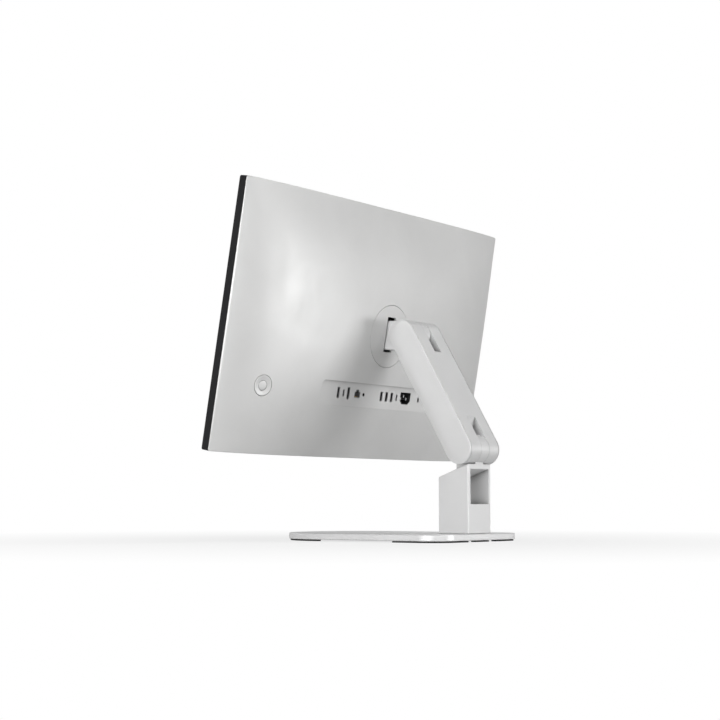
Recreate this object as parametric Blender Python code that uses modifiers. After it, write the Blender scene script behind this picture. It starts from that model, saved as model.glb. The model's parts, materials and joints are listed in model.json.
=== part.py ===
"""All-in-one desktop computer: a 27-inch screen whose domed back holds the whole
computer, carried by a counterbalanced swing arm on a short column and a flat foot.

Metres, +Z up. The screen faces -Y, its user's right is +X, and the table is z = 0.
Each moving group has an empty on its joint's axis, and its pieces are built in that
empty's own axes.
"""

import math

import bmesh
import bpy
from mathutils import Matrix, Vector

# Screen and housing
DISPLAY_WIDTH = 0.613
DISPLAY_HEIGHT = 0.366
FRAME_DEPTH = 0.0119
SHELL_PEAK = 0.0542
SHELL_WALL = 0.0024
SCREEN_LEAN = math.radians(10.2)

# Shape of the domed back: depth falls from SHELL_PEAK at the middle to SHELL_EDGE
SHELL_EDGE = 0.0123
DOME_HALF_WIDTH = 0.307
DOME_SIDE_POWER = 0.75
DOME_END_DROP = 0.554
DOME_END_POWER = 2.6

# Swing arm
ARM_LENGTH = 0.1904
ARM_LEAN = math.radians(30.3)
ARM_BODY_WIDTH = 0.0688
HINGE_RADIUS = 0.021
LOWER_HINGE = Vector((0, 0.1375, 0.1274))
LEAN_UP = math.radians(5.3)
LEAN_DOWN = math.radians(67.3)
LINK_OFFSET = 0.013
BOSS_RADIUS = 0.0095
LOWER_PIN = 0.006
UPPER_PIN = 0.005
LINK_PIN = 0.0021
LINK_EYE = 0.0037
SPRING_RADIUS = 0.0123

# Upper hinge and tilt hinge, as depth behind the screen's face and height over the hub
UPPER_HINGE_IN_DISPLAY = (0.1001, 0.0059)
TILT_HINGE_IN_DISPLAY = (0.044, 0.0005)
NECK_WIDTH = 0.0146
TONGUE_WIDTH = 0.0196

# Hub in the middle of the back
HUB_RADIUS = 0.0454
HUB_THICKNESS = 0.0029
HUB_SLOT = (0.0198, 0.0508)
HUB_SLOT_RISE = 0.0024

# Column and foot
COLUMN_WIDTH = 0.0568
COLUMN_FRONT = 0.0987
COLUMN_REAR = 0.1483
COLUMN_REAR_TOP = 0.1074
COLUMN_TOP_SLOPE = math.radians(20.2)
WINDOW_WIDTH = 0.0466
WINDOW_SILL = 0.0517
WINDOW_CEILING_DROP = 0.0072
PLATE_HALF_WIDTH = 0.108
PLATE_FRONT = -0.1585
PLATE_REAR = 0.1545
PLATE_FRONT_RADIUS = 0.105
PLATE_REAR_RADIUS = 0.036
PLATE_BOTTOM = 0.0022
PLATE_TOP = 0.0109

# Fits
GAP = 0.0003
PIN_PLAY = 0.00035
ROUND = 24

# Port bay in the back, and its sockets from the user's right to left
BAY_SIZE = (0.269, 0.0355)
BAY_CENTRE_HEIGHT = -0.0893
BAY_FLOOR = 0.0479
BAY_FLOOR_THICKNESS = 0.002
BAY_RADIUS = 0.006
PORT_HEIGHT = -0.0882
PORT_FACE = 0.0477
BOARD_FACE = 0.0316
SOCKET_DEPTH = 0.011
SOCKET_WALL = 0.0006
TONGUE_RECESS = 0.0012

# Power button
BUTTON_PLACE = (0.245, -0.0888)
BUTTON_RADIUS = 0.0067
BUTTON_RING_RADIUS = 0.0143

# Blower, and the vent slots in the shell's upper and lower walls
FAN_CENTRE = (0.160, 0.085)
VENT_SLOT = (0.0026, 0.008)
VENT_PITCH = 0.0068

COLOURS = {
    "silver_plastic": ((0.60, 0.60, 0.59), 0.38, 0.25),
    "silver_metal": ((0.66, 0.66, 0.66), 0.32, 0.85),
    "black_plastic": ((0.028, 0.028, 0.030), 0.45, 0.0),
    "screen_glass": ((0.010, 0.010, 0.012), 0.06, 0.0),
    "black_rubber": ((0.020, 0.020, 0.021), 0.80, 0.0),
    "steel": ((0.55, 0.56, 0.57), 0.35, 1.0),
    "spring_steel": ((0.30, 0.30, 0.31), 0.35, 1.0),
    "white_sheet": ((0.85, 0.85, 0.84), 0.5, 0.0),
    "circuit_board": ((0.02, 0.14, 0.06), 0.5, 0.0),
    "copper": ((0.72, 0.38, 0.22), 0.30, 1.0),
    "aluminium_fins": ((0.70, 0.71, 0.72), 0.40, 0.9),
    "socket_metal": ((0.35, 0.35, 0.36), 0.40, 0.9),
    "socket_black": ((0.012, 0.012, 0.013), 0.55, 0.0),
}

# Where the local axes (a, b, c) of a flat outline go: c is the way it is extruded
PLAN = Matrix.Identity(4)
SIDE = Matrix(((0, 0, 1, 0), (1, 0, 0, 0), (0, 1, 0, 0), (0, 0, 0, 1)))
FACE = Matrix(((1, 0, 0, 0), (0, 0, -1, 0), (0, 1, 0, 0), (0, 0, 0, 1)))


# ---- scene and helpers -------------------------------------------------------


def clear_scene():
    for obj in list(bpy.data.objects):
        bpy.data.objects.remove(obj, do_unlink=True)


def new_collection(name):
    collection = bpy.data.collections.new(name)
    bpy.context.scene.collection.children.link(collection)
    return collection


def new_material(name):
    colour, roughness, metallic = COLOURS[name]
    material = bpy.data.materials.new(name)
    material.use_nodes = True
    shader = material.node_tree.nodes["Principled BSDF"]
    shader.inputs["Base Color"].default_value = (*colour, 1)
    shader.inputs["Roughness"].default_value = roughness
    shader.inputs["Metallic"].default_value = metallic
    return material


def new_frame(name, location, rotation=(0, 0, 0), parent=None):
    """An empty that carries a moving group, placed in the world or on another empty."""
    frame = bpy.data.objects.new(name, None)
    frame.empty_display_size = 0.03
    frame.location = location
    frame.rotation_euler = rotation
    frame.parent = parent
    PARTS.objects.link(frame)
    bpy.context.view_layer.update()
    return frame


def place(name, mesh, frame, look):
    """An object on its frame: a part with a material, or a cutter when look is None."""
    obj = bpy.data.objects.new(name, mesh)
    obj.parent = frame
    if look is None:
        obj.hide_render = True
        obj.display_type = "WIRE"
        CUTTERS.objects.link(obj)
        return obj
    mesh.materials.append(MATERIALS[look])
    mesh.shade_smooth()
    mesh.set_sharp_from_angle(angle=math.radians(35))
    PARTS.objects.link(obj)
    return obj


def mesh_from(bm, name, matrix):
    bmesh.ops.transform(bm, matrix=matrix, verts=bm.verts)
    bmesh.ops.recalc_face_normals(bm, faces=bm.faces)
    mesh = bpy.data.meshes.new(name)
    bm.to_mesh(mesh)
    bm.free()
    return mesh


def mesh_of_curve(curve, name, matrix):
    """The curve's surface as one closed mesh, with its caps welded on."""
    guide = bpy.data.objects.new(name + "_curve", curve)
    CUTTERS.objects.link(guide)
    graph = bpy.context.evaluated_depsgraph_get()
    made = bpy.data.meshes.new_from_object(guide.evaluated_get(graph))
    bm = bmesh.new()
    bm.from_mesh(made)
    bmesh.ops.remove_doubles(bm, verts=bm.verts, dist=1e-6)
    bpy.data.objects.remove(guide)
    bpy.data.meshes.remove(made)
    return mesh_from(bm, name, matrix)


def slab(name, frame, loops, thickness, centre, view, look=None):
    """A flat outline with holes, given thickness: the first loop is the outer one."""
    curve = bpy.data.curves.new(name, "CURVE")
    curve.dimensions = "2D"
    curve.fill_mode = "BOTH"
    curve.extrude = thickness / 2
    for loop in loops:
        spline = curve.splines.new("POLY")
        spline.points.add(len(loop) - 1)
        spline.use_cyclic_u = True
        for point, (a, b) in zip(spline.points, loop):
            point.co = (a, b, 0, 1)
    mesh = mesh_of_curve(curve, name, Matrix.Translation(centre) @ view)
    return place(name, mesh, frame, look)


def tube(name, frame, points, radius, look):
    """A round wire or pipe along the points."""
    curve = bpy.data.curves.new(name, "CURVE")
    curve.dimensions = "3D"
    curve.bevel_depth = radius
    curve.bevel_resolution = 2
    curve.use_fill_caps = True
    spline = curve.splines.new("POLY")
    spline.points.add(len(points) - 1)
    for point, place_at in zip(spline.points, points):
        point.co = (*place_at, 1)
    return place(name, mesh_of_curve(curve, name, PLAN), frame, look)


def box(name, frame, size, centre, look=None):
    bm = bmesh.new()
    bmesh.ops.create_cube(bm, size=1)
    matrix = Matrix.Translation(centre) @ Matrix.Diagonal((*size, 1))
    return place(name, mesh_from(bm, name, matrix), frame, look)


def cylinder(name, frame, radius, length, centre, axis, look=None, sides=ROUND):
    """A round bar along the X, Y or Z axis of its frame."""
    bm = bmesh.new()
    bmesh.ops.create_cone(
        bm, cap_ends=True, segments=sides, radius1=radius, radius2=radius, depth=length
    )
    turn = {
        "X": Matrix.Rotation(math.pi / 2, 4, "Y"),
        "Y": Matrix.Rotation(math.pi / 2, 4, "X"),
        "Z": PLAN,
    }[axis]
    return place(name, mesh_from(bm, name, Matrix.Translation(centre) @ turn), frame, look)


def between(name, frame, low, high, look=None):
    """A box from its lowest to its highest corner."""
    size = [b - a for a, b in zip(low, high)]
    centre = [(a + b) / 2 for a, b in zip(low, high)]
    return box(name, frame, size, centre, look)


def boolean(target, other, operation):
    modifier = target.modifiers.new(operation.title(), "BOOLEAN")
    modifier.operation = operation
    modifier.object = other


def cut(target, *cutters):
    for cutter in cutters:
        boolean(target, cutter, "DIFFERENCE")


def fuse(target, *others):
    for other in others:
        boolean(target, other, "UNION")


def soften(target, width, segments=2, angle=40):
    """Rounded edges where faces meet at more than the angle."""
    bevel = target.modifiers.new("Bevel", "BEVEL")
    bevel.width = width
    bevel.segments = segments
    bevel.limit_method = "ANGLE"
    bevel.angle_limit = math.radians(angle)


# ---- outlines ----------------------------------------------------------------


def arc(centre, radius, start, end, steps):
    """Points on a circle from one angle to another, in degrees."""
    angles = [math.radians(start + (end - start) * k / steps) for k in range(steps + 1)]
    return [(centre[0] + radius * math.cos(a), centre[1] + radius * math.sin(a)) for a in angles]


def circle(centre, radius, sides=ROUND):
    return arc(centre, radius, 0, 360, sides)[:-1]


def rounded_rectangle(width, height, radius, centre=(0, 0), steps=4):
    across, up = width / 2 - radius, height / 2 - radius
    points = []
    for quarter, (sx, sy) in enumerate(((1, 1), (-1, 1), (-1, -1), (1, -1))):
        corner = (centre[0] + sx * across, centre[1] + sy * up)
        points += arc(corner, radius, 90 * quarter, 90 * quarter + 90, steps)
    return points


def rectangle(width, height, centre=(0, 0)):
    a, b = centre
    w, h = width / 2, height / 2
    return [(a - w, b - h), (a + w, b - h), (a + w, b + h), (a - w, b + h)]


def capsule(start, end, radius, steps=12):
    """The outline of a bar with round ends, from one centre to the other."""
    heading = math.degrees(math.atan2(end[1] - start[1], end[0] - start[0]))
    return arc(end, radius, heading - 90, heading + 90, steps) + arc(
        start, radius, heading + 90, heading + 270, steps
    )


def along(start, direction, distance, aside=0.0):
    """A point from start along a direction in degrees, then aside to its left."""
    a = math.radians(direction)
    return (
        start[0] + distance * math.cos(a) - aside * math.sin(a),
        start[1] + distance * math.sin(a) + aside * math.cos(a),
    )


# ---- display housing -----------------------------------------------------------


def dome_depth(x, height):
    """How far the domed back stands behind the screen's face."""
    side = max(0.0, 1 - abs(x / DOME_HALF_WIDTH) ** 4) ** DOME_SIDE_POWER
    end = 1 - DOME_END_DROP * abs(height / (DISPLAY_HEIGHT / 2)) ** DOME_END_POWER
    return SHELL_EDGE + (SHELL_PEAK - SHELL_EDGE) * side * end


def dome_normal(x, height):
    """The outward direction of the domed back, in the display's axes."""
    step = 0.001
    slope_x = (dome_depth(x + step, height) - dome_depth(x - step, height)) / (2 * step)
    slope_z = (dome_depth(x, height + step) - dome_depth(x, height - step)) / (2 * step)
    return Vector((-slope_x, 1, -slope_z)).normalized()


def dome_block(name, frame, base, inset, drop, look=None):
    """A solid under the dome, its rectangle inset all round and its top lowered."""
    columns, rows = 22, 14
    half_width, half_height = DISPLAY_WIDTH / 2 - inset, DISPLAY_HEIGHT / 2 - inset
    bm = bmesh.new()
    bmesh.ops.create_grid(bm, x_segments=columns, y_segments=rows, size=1)
    for vert in bm.verts:
        u, v = (math.sin(value * math.pi / 2) for value in vert.co.xy)
        vert.co = (u * half_width, base, v * half_height)
    raised = bmesh.ops.extrude_face_region(bm, geom=bm.faces[:], use_keep_orig=True)["geom"]
    for vert in (item for item in raised if isinstance(item, bmesh.types.BMVert)):
        top = dome_depth(vert.co.x, vert.co.z) - drop
        vert.co.y = max(top, base + GAP)
    return place(name, mesh_from(bm, name, PLAN), frame, look)


def port_holes(frame):
    """Cutters through the bay's floor, one for each socket."""
    cutters = []
    for name, x, outer in socket_outlines():
        grown = offset_outline(outer, GAP)
        through = (x, BAY_FLOOR, PORT_HEIGHT)
        cutters.append(slab(name + "_hole", frame, [grown], 0.008, through, FACE))
    return cutters


def vent_cutters(frame):
    """Rows of slots: air in along the lower wall, and out over the radiator."""
    width, depth = VENT_SLOT
    cutters = []
    rows = (("intake", -0.085, 14, -1), ("exhaust", 0.122, 11, 1))
    for label, first, count, end in rows:
        for index in range(count):
            x = first + index * VENT_PITCH
            centre = (x, 0.0195, end * DISPLAY_HEIGHT / 2)
            cutters.append(box(f"{label}_{index}", frame, (width, depth, 0.012), centre))
    return cutters


def build_rear_cover(frame):
    cover = dome_block("rear_cover", frame, FRAME_DEPTH + GAP, 0, 0, "silver_plastic")
    hollow = dome_block("cover_hollow", frame, FRAME_DEPTH - 0.003, 0.0025, SHELL_WALL)
    bay_wall = 0.004
    bay_block = box(
        "bay_block",
        frame,
        (BAY_SIZE[0] + bay_wall, 0.03, BAY_SIZE[1] + bay_wall),
        (0, BAY_FLOOR - BAY_FLOOR_THICKNESS + 0.015, BAY_CENTRE_HEIGHT),
    )
    cut(hollow, bay_block)
    bay = slab(
        "bay_recess",
        frame,
        [rounded_rectangle(*BAY_SIZE, BAY_RADIUS)],
        0.03,
        (0, BAY_FLOOR + 0.015, BAY_CENTRE_HEIGHT),
        FACE,
    )
    hub_hole = cylinder("hub_hole", frame, HUB_RADIUS + 0.0006, 0.06, (0, 0.05, 0), "Y", sides=48)
    button_hole = cylinder("button_hole", BUTTON_FRAME, BUTTON_RING_RADIUS + GAP, 0.02, (0, 0, 0), "Y")
    cut(cover, hollow, bay, hub_hole, button_hole, *port_holes(frame), *vent_cutters(frame))
    return cover


def build_front_frame(frame):
    """The black rim, with the ledge inside it that carries the cover glass."""
    rim_wall, ledge_front, ledge_depth = 0.0018, 0.0026, 0.0016
    inner = (DISPLAY_WIDTH - 2 * rim_wall, DISPLAY_HEIGHT - 2 * rim_wall)
    rim = slab(
        "front_frame",
        frame,
        [rounded_rectangle(DISPLAY_WIDTH, DISPLAY_HEIGHT, 0.003), rounded_rectangle(*inner, 0.0015)],
        FRAME_DEPTH,
        (0, FRAME_DEPTH / 2, 0),
        FACE,
        "black_plastic",
    )
    ledge = slab(
        "ledge",
        frame,
        [rounded_rectangle(inner[0] + 0.001, inner[1] + 0.001, 0.0015), rectangle(0.604, 0.345)],
        ledge_depth,
        (0, ledge_front + ledge_depth / 2, 0),
        FACE,
    )
    fuse(rim, ledge)


def build_screen_stack(frame):
    """Cover glass, panel, light guide and tray, each behind the last."""
    glass = [rounded_rectangle(0.6088, 0.3618, 0.0012)]
    slab("cover_glass", frame, glass, 0.0021, (0, 0.00125, 0), FACE, "screen_glass")
    box("lcd_panel", frame, (0.603, 0.0018, 0.344), (0, 0.0035, 0), "black_plastic")
    box("light_guide", frame, (0.597, 0.002, 0.338), (0, 0.006, 0), "white_sheet")
    tray = box("backlight_tray", frame, (0.603, 0.0036, 0.344), (0, 0.0065, 0), "steel")
    cut(tray, box("tray_hollow", frame, (0.600, 0.0036, 0.341), (0, 0.0057, 0)))
    box("camera_module", frame, (0.040, 0.0036, 0.0052), (0, 0.0066, 0.1768), "black_plastic")


def build_chassis(frame):
    """The steel plate that everything is screwed to, with posts for the board."""
    plate = box("chassis_plate", frame, (0.606, 0.0014, 0.356), (0, 0.0095, 0), "steel")
    post_top = BOARD_FACE - 0.0019
    for index, (x, z) in enumerate(((-0.12, -0.145), (0.12, -0.145), (0.12, 0.03), (-0.12, -0.062))):
        centre = (x, (0.009 + post_top) / 2, z)
        fuse(plate, cylinder(f"post_{index}", frame, 0.003, post_top - 0.009, centre, "Y", sides=10))
    ring = [circle((0, 0), HUB_RADIUS + 0.0085, 36), circle((0, 0), HUB_RADIUS + 0.001, 36)]
    slab("hub_ring", frame, ring, 0.016, (0, 0.0185, 0), FACE, "steel")


def build_electronics(frame):
    """The board, the cards on it, the supply and the speakers."""
    board = [(-0.13, -0.155), (0.13, -0.155), (0.13, 0.04), (0.055, 0.04), (0.055, -0.052), (-0.13, -0.052)]
    slab("mainboard", frame, [board], 0.0016, (0, BOARD_FACE - 0.0008, 0), FACE, "circuit_board")
    cards = (
        ("memory_module_1", (0.068, 0.0012, 0.030), (-0.086, 0.0345, -0.136), "circuit_board"),
        ("memory_module_2", (0.068, 0.0012, 0.030), (-0.010, 0.0345, -0.136), "circuit_board"),
        ("ssd_card", (0.080, 0.0020, 0.022), (0.080, 0.0345, -0.131), "circuit_board"),
        ("wireless_card", (0.022, 0.0020, 0.018), (0.111, 0.0345, -0.055), "circuit_board"),
        ("cold_plate", (0.050, 0.0030, 0.044), (0.092, 0.0335, -0.010), "copper"),
        ("power_supply", (0.095, 0.0145, 0.110), (-0.1975, 0.0200, -0.075), "steel"),
        ("speaker_left", (0.110, 0.0065, 0.018), (0.197, 0.0165, -0.160), "black_plastic"),
        ("speaker_right", (0.110, 0.0065, 0.018), (-0.197, 0.0165, -0.160), "black_plastic"),
    )
    for name, size, centre, look in cards:
        soften(box(name, frame, size, centre, look), min(size) * 0.2, 1)


def fin_outline(length, base, height, fins, fin):
    """A comb: a base along the first axis with fins standing on it."""
    pitch = (length - fin) / (fins - 1)
    points = [(0, 0), (length, 0)]
    for index in reversed(range(fins)):
        left = index * pitch
        points += [(left + fin, base), (left + fin, height), (left, height), (left, base)]
    return points[:2] + points[3:-1]


def build_cooling(frame):
    """Radiator, blower and the heat pipe that joins the board to the radiator."""
    comb = fin_outline(0.070, 0.002, 0.014, 14, 0.0012)
    slab("radiator", frame, [comb], 0.024, (0.125, 0.013, 0.136), PLAN, "aluminium_fins")
    x, z = FAN_CENTRE
    housing = cylinder("blower_housing", frame, 0.034, 0.014, (x, 0.020, z), "Y", "black_plastic", 36)
    cut(
        housing,
        cylinder("blower_hollow", frame, 0.0315, 0.014, (x, 0.022, z), "Y", sides=36),
        between("blower_outlet", frame, (x - 0.022, 0.015, z), (x + 0.022, 0.030, z + 0.05)),
    )
    bends = [(0.092, 0.038, -0.024), (0.092, 0.038, 0.020), (0.104, 0.036, 0.060), (0.108, 0.034, 0.105)]
    ends = [(0.122, 0.0305, 0.134), (0.190, 0.0305, 0.137)]
    tube("heat_pipe", frame, smooth_path(bends + ends, 22), 0.0025, "copper")


def smooth_path(knots, count):
    """Points spaced along a curve that passes through every knot."""
    knots = [Vector(knot) for knot in knots]
    ends = [2 * knots[0] - knots[1], *knots, 2 * knots[-1] - knots[-2]]
    points = []
    for index in range(count):
        place_at = index / (count - 1) * (len(knots) - 1)
        piece = min(int(place_at), len(knots) - 2)
        t = place_at - piece
        a, b, c, d = ends[piece : piece + 4]
        points.append(
            0.5 * (2 * b + (c - a) * t + (2 * a - 5 * b + 4 * c - d) * t**2 + (3 * b - a - 3 * c + d) * t**3)
        )
    return points


def build_fan(frame):
    """The blower's wheel: one hub with straight blades, spinning on its own axis."""
    blades, tip, root = 11, 0.027, 0.012
    share = 360 / blades
    outline = []
    for index in range(blades):
        start = index * share
        outline += arc((0, 0), tip, start, start + share * 0.22, 1)
        outline += arc((0, 0), root, start + share * 0.45, start + share * 0.85, 1)
    slab("fan_rotor", frame, [outline], 0.0095, (0, 0, 0), FACE, "black_plastic")


# ---- sockets -------------------------------------------------------------------


def offset_outline(points, amount):
    """The outline pushed outwards from its middle by about the amount on each side."""
    middle_a = (max(a for a, b in points) + min(a for a, b in points)) / 2
    middle_b = (max(b for a, b in points) + min(b for a, b in points)) / 2
    half_a = max(a for a, b in points) - middle_a
    half_b = max(b for a, b in points) - middle_b
    return [
        (middle_a + (a - middle_a) * (1 + amount / half_a), middle_b + (b - middle_b) * (1 + amount / half_b))
        for a, b in points
    ]


def chamfered(width, height, corner):
    """A rectangle whose two lower corners are cut off."""
    w, h = width / 2, height / 2
    return [(-w, h), (-w, corner - h), (corner - w, -h), (w - corner, -h), (w, corner - h), (w, h)]


def sockets():
    """Name, place along X, opening, what stands in the opening, and finish."""
    slim = [(-0.0008, -0.005), (0.0008, -0.005), (0.0008, 0.005), (-0.0008, 0.005)]
    usb_a = [(0.0002, -0.0052), (0.0018, -0.0052), (0.0018, 0.0052), (0.0002, 0.0052)]
    usb_c = (rounded_rectangle(0.0028, 0.0086, 0.0013, steps=3), [rectangle(0.0008, 0.0064)])
    network = [
        (-0.006, -0.0042), (0.006, -0.0042), (0.006, 0.0026), (0.0028, 0.0026),
        (0.0028, 0.0056), (-0.0028, 0.0056), (-0.0028, 0.0026), (-0.006, 0.0026),
    ]
    pins = [rectangle(0.002, 0.004, centre) for centre in ((-0.007, -0.001), (0, 0.003), (0.007, -0.001))]
    return [
        ("hdmi_port", 0.093, chamfered(0.0046, 0.0142, 0.0011), [slim], "socket_metal"),
        ("usb_c_port_1", 0.081, *usb_c, "socket_metal"),
        ("display_port", 0.0697, chamfered(0.0050, 0.0162, 0.0018), [slim], "socket_metal"),
        ("lan_port", 0.0486, network, [], "socket_metal"),
        ("audio_jack", 0.034, circle((0, 0), 0.0018, 12), [], "socket_black"),
        ("usb_a_port_1", -0.0094, rectangle(0.0050, 0.0124), [usb_a], "socket_metal"),
        ("usb_a_port_2", -0.0222, rectangle(0.0050, 0.0124), [usb_a], "socket_metal"),
        ("usb_a_port_3", -0.0350, rectangle(0.0050, 0.0124), [usb_a], "socket_metal"),
        ("usb_c_port_2", -0.0475, *usb_c, "socket_metal"),
        ("power_inlet", -0.0697, chamfered(0.0244, 0.0160, 0.0046), pins, "socket_black"),
        ("lock_slot", -0.1037, rounded_rectangle(0.0032, 0.0072, 0.0008, steps=2), [], "steel"),
    ]


def socket_outlines():
    """Each socket's outer outline, as its hole in the bay floor has to fit it."""
    return [(name, x, offset_outline(opening, SOCKET_WALL)) for name, x, opening, _, _ in sockets()]


def build_sockets(frame):
    """Each socket stands on the board and ends flush with the bay's floor."""
    length = PORT_FACE - BOARD_FACE - GAP
    for name, x, opening, tongues, look in sockets():
        centre = (x, PORT_FACE - length / 2, PORT_HEIGHT)
        body = slab(name, frame, [offset_outline(opening, SOCKET_WALL)], length, centre, FACE, look)
        mouth = (x, PORT_FACE, PORT_HEIGHT)
        cut(body, slab(name + "_opening", frame, [opening], 2 * SOCKET_DEPTH, mouth, FACE))
        root = (x, PORT_FACE - SOCKET_DEPTH / 2 - TONGUE_RECESS, PORT_HEIGHT)
        for index, tongue in enumerate(tongues):
            fuse(body, slab(f"{name}_tongue_{index}", frame, [tongue], SOCKET_DEPTH, root, FACE))


# ---- power button ----------------------------------------------------------------


def turned(name, frame, profile, look=None, sides=32):
    """A profile of (radius, depth) points turned about the frame's Y axis."""
    bm = bmesh.new()
    verts = [bm.verts.new((radius, depth, 0)) for radius, depth in profile]
    for first, second in zip(verts, verts[1:] + verts[:1]):
        if first.co.x > 0 or second.co.x > 0:
            bm.edges.new((first, second))
    mesh = bpy.data.meshes.new(name)
    bm.to_mesh(mesh)
    bm.free()
    obj = place(name, mesh, frame, look)
    screw = obj.modifiers.new("Screw", "SCREW")
    screw.axis = "Y"
    screw.steps = screw.render_steps = sides
    screw.use_merge_vertices = True
    screw.merge_threshold = 0.00001
    return obj


def build_button_surround(frame):
    """The dished ring set into the back, and the switch behind the button."""
    inner, outer = BUTTON_RADIUS + 0.0004, BUTTON_RING_RADIUS
    dish = [
        (outer, 0.0), (outer, -0.0026), (inner, -0.0026), (inner, -0.0013),
        (inner + 0.0012, -0.0014), (inner + 0.0035, -0.0008), (outer - 0.0008, 0.0),
    ]
    turned("button_ring", frame, dish, "silver_plastic")
    box("button_switch", frame, (0.008, 0.003, 0.008), (0, -0.0075, 0), "socket_black")


def build_power_button(frame):
    crown = [(BUTTON_RADIUS * math.cos(a), 0.0012 * math.sin(a) - 0.0012) for a in (1.1, 0.7, 0.2)]
    profile = [(0, 0), *crown, (BUTTON_RADIUS, -0.0012), (BUTTON_RADIUS, -0.0042), (0, -0.0042)]
    turned("power_button", frame, profile, "silver_plastic")


# ---- hub and neck ------------------------------------------------------------------


def build_hub(frame):
    """The disc in the back, the bracket behind it and the tilt shaft, about the hub."""
    width, height = HUB_SLOT
    slot = rectangle(width, height, (0, HUB_SLOT_RISE))
    disc_middle = SHELL_PEAK - HUB_THICKNESS / 2
    slab(
        "hub_disc", frame, [circle((0, 0), HUB_RADIUS, 48), slot], HUB_THICKNESS,
        (0, disc_middle, 0), FACE, "silver_metal",
    )
    floor_top = 0.015
    bracket = cylinder("hub_bracket", frame, HUB_RADIUS - 0.0002, 0.003, (0, 0.0135, 0), "Y", "steel", 36)
    top = SHELL_PEAK - HUB_THICKNESS - GAP
    cheek, spread = 0.005, 0.0129
    for side in (-1, 1):
        centre = (side * spread, (floor_top - 0.001 + top) / 2, 0)
        fuse(bracket, box(f"cheek_{side}", frame, (cheek, top - floor_top + 0.001, 0.042), centre))
    depth, rise = TILT_HINGE_IN_DISPLAY
    shaft = 0.004
    cut(bracket, cylinder("shaft_hole", frame, shaft + PIN_PLAY, 0.06, (0, depth, rise), "X"))
    cylinder("tilt_shaft", frame, shaft, 0.034, (0, depth, rise), "X", "steel")


def sweep_pocket(pivot, radius, first, last):
    """A pocket that a bar needs as it swings about the pivot, from first to last heading."""
    reach = 0.05
    sides = [along(pivot, first, reach, -radius), along(pivot, last, reach, radius)]
    return [*sides, *arc(pivot, radius, last + 90, first + 270, 8)]


def link_slot(name, frame, centre, first, last):
    """The slot for the levelling link's end, leaving its pin standing across it."""
    loops = [sweep_pocket(centre, LINK_EYE + 0.0005, first, last), circle(centre, LINK_PIN, 12)]
    return slab(name, frame, loops, 0.0054, (0, 0, 0), SIDE)


def build_neck(frame):
    """The bar from the arm's upper hinge, through the disc's slot, to the tilt hinge."""
    tilt = (TILT_HINGE.y - UPPER_HINGE.y, TILT_HINGE.z - UPPER_HINGE.z)
    outline = capsule((0, 0), tilt, HINGE_RADIUS)
    neck = slab("neck", frame, [outline], NECK_WIDTH, (0, 0, 0), SIDE, "silver_metal")
    soften(neck, 0.0008, 1)
    headings = (math.degrees(LEAN_UP) - 90, math.degrees(LEAN_DOWN) - 90)
    cut(
        neck,
        cylinder("upper_bore", frame, UPPER_PIN + PIN_PLAY, 0.03, (0, 0, 0), "X"),
        cylinder("tilt_bore", frame, 0.004 + PIN_PLAY, 0.03, (0, *tilt), "X"),
        link_slot("neck_link_slot", frame, LINK_PIVOT, *headings),
    )


# ---- swing arm ---------------------------------------------------------------------


def build_arm_body(frame):
    """The cast arm: a fork at each end, a pocket in each side, and a way for the link."""
    stadium = capsule((0, 0), (0, ARM_LENGTH), HINGE_RADIUS)
    body = slab("arm_body", frame, [stadium], ARM_BODY_WIDTH, (0, 0, 0), SIDE, "silver_metal")
    inner = capsule((0, 0), (0, ARM_LENGTH), HINGE_RADIUS - 0.0035)
    bosses = [circle((0, 0), BOSS_RADIUS), circle((0, ARM_LENGTH), BOSS_RADIUS)]
    pocket_floor, outside = 0.0135, ARM_BODY_WIDTH / 2 + 0.002
    for side in (-1, 1):
        centre = (side * (pocket_floor + outside) / 2, 0, 0)
        cut(body, slab(f"pocket_{side}", frame, [inner, *bosses], outside - pocket_floor, centre, SIDE))
    lower, upper = TONGUE_WIDTH / 2 + GAP, NECK_WIDTH / 2 + 0.001
    fork_low, fork_high = 0.0225, ARM_LENGTH - 0.0239
    skin, deep, out, way = HINGE_RADIUS, 0.002, 0.03, 0.005
    scoop_low = [
        (deep, 0.018), (out, 0.018), (out, 0.041), (skin, 0.041),
        (0.0175, 0.0375), (0.013, 0.0315), (0.009, 0.0265), (deep, 0.0235),
    ]
    scoop_high = [(deep, 0.175), (deep, 0.158), (0.0175, 0.1525), (skin, 0.149), (out, 0.149), (out, 0.175)]
    cut(
        body,
        between("link_way", frame, (-way, -0.0175, 0.015), (way, 0.004, 0.175)),
        between("lower_fork", frame, (-lower, -out, -out), (lower, out, fork_low)),
        between("upper_fork", frame, (-upper, -out, fork_high), (upper, out, ARM_LENGTH + out)),
        slab("lower_scoop", frame, [scoop_low], 2 * lower - 0.0015, (0, 0, 0), SIDE),
        slab("upper_scoop", frame, [scoop_high], 2 * upper - 0.0006, (0, 0, 0), SIDE),
        cylinder("lower_pin_bore", frame, LOWER_PIN + PIN_PLAY, 0.08, (0, 0, 0), "X"),
        cylinder("upper_pin_bore", frame, UPPER_PIN + PIN_PLAY, 0.08, (0, 0, ARM_LENGTH), "X"),
    )


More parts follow.
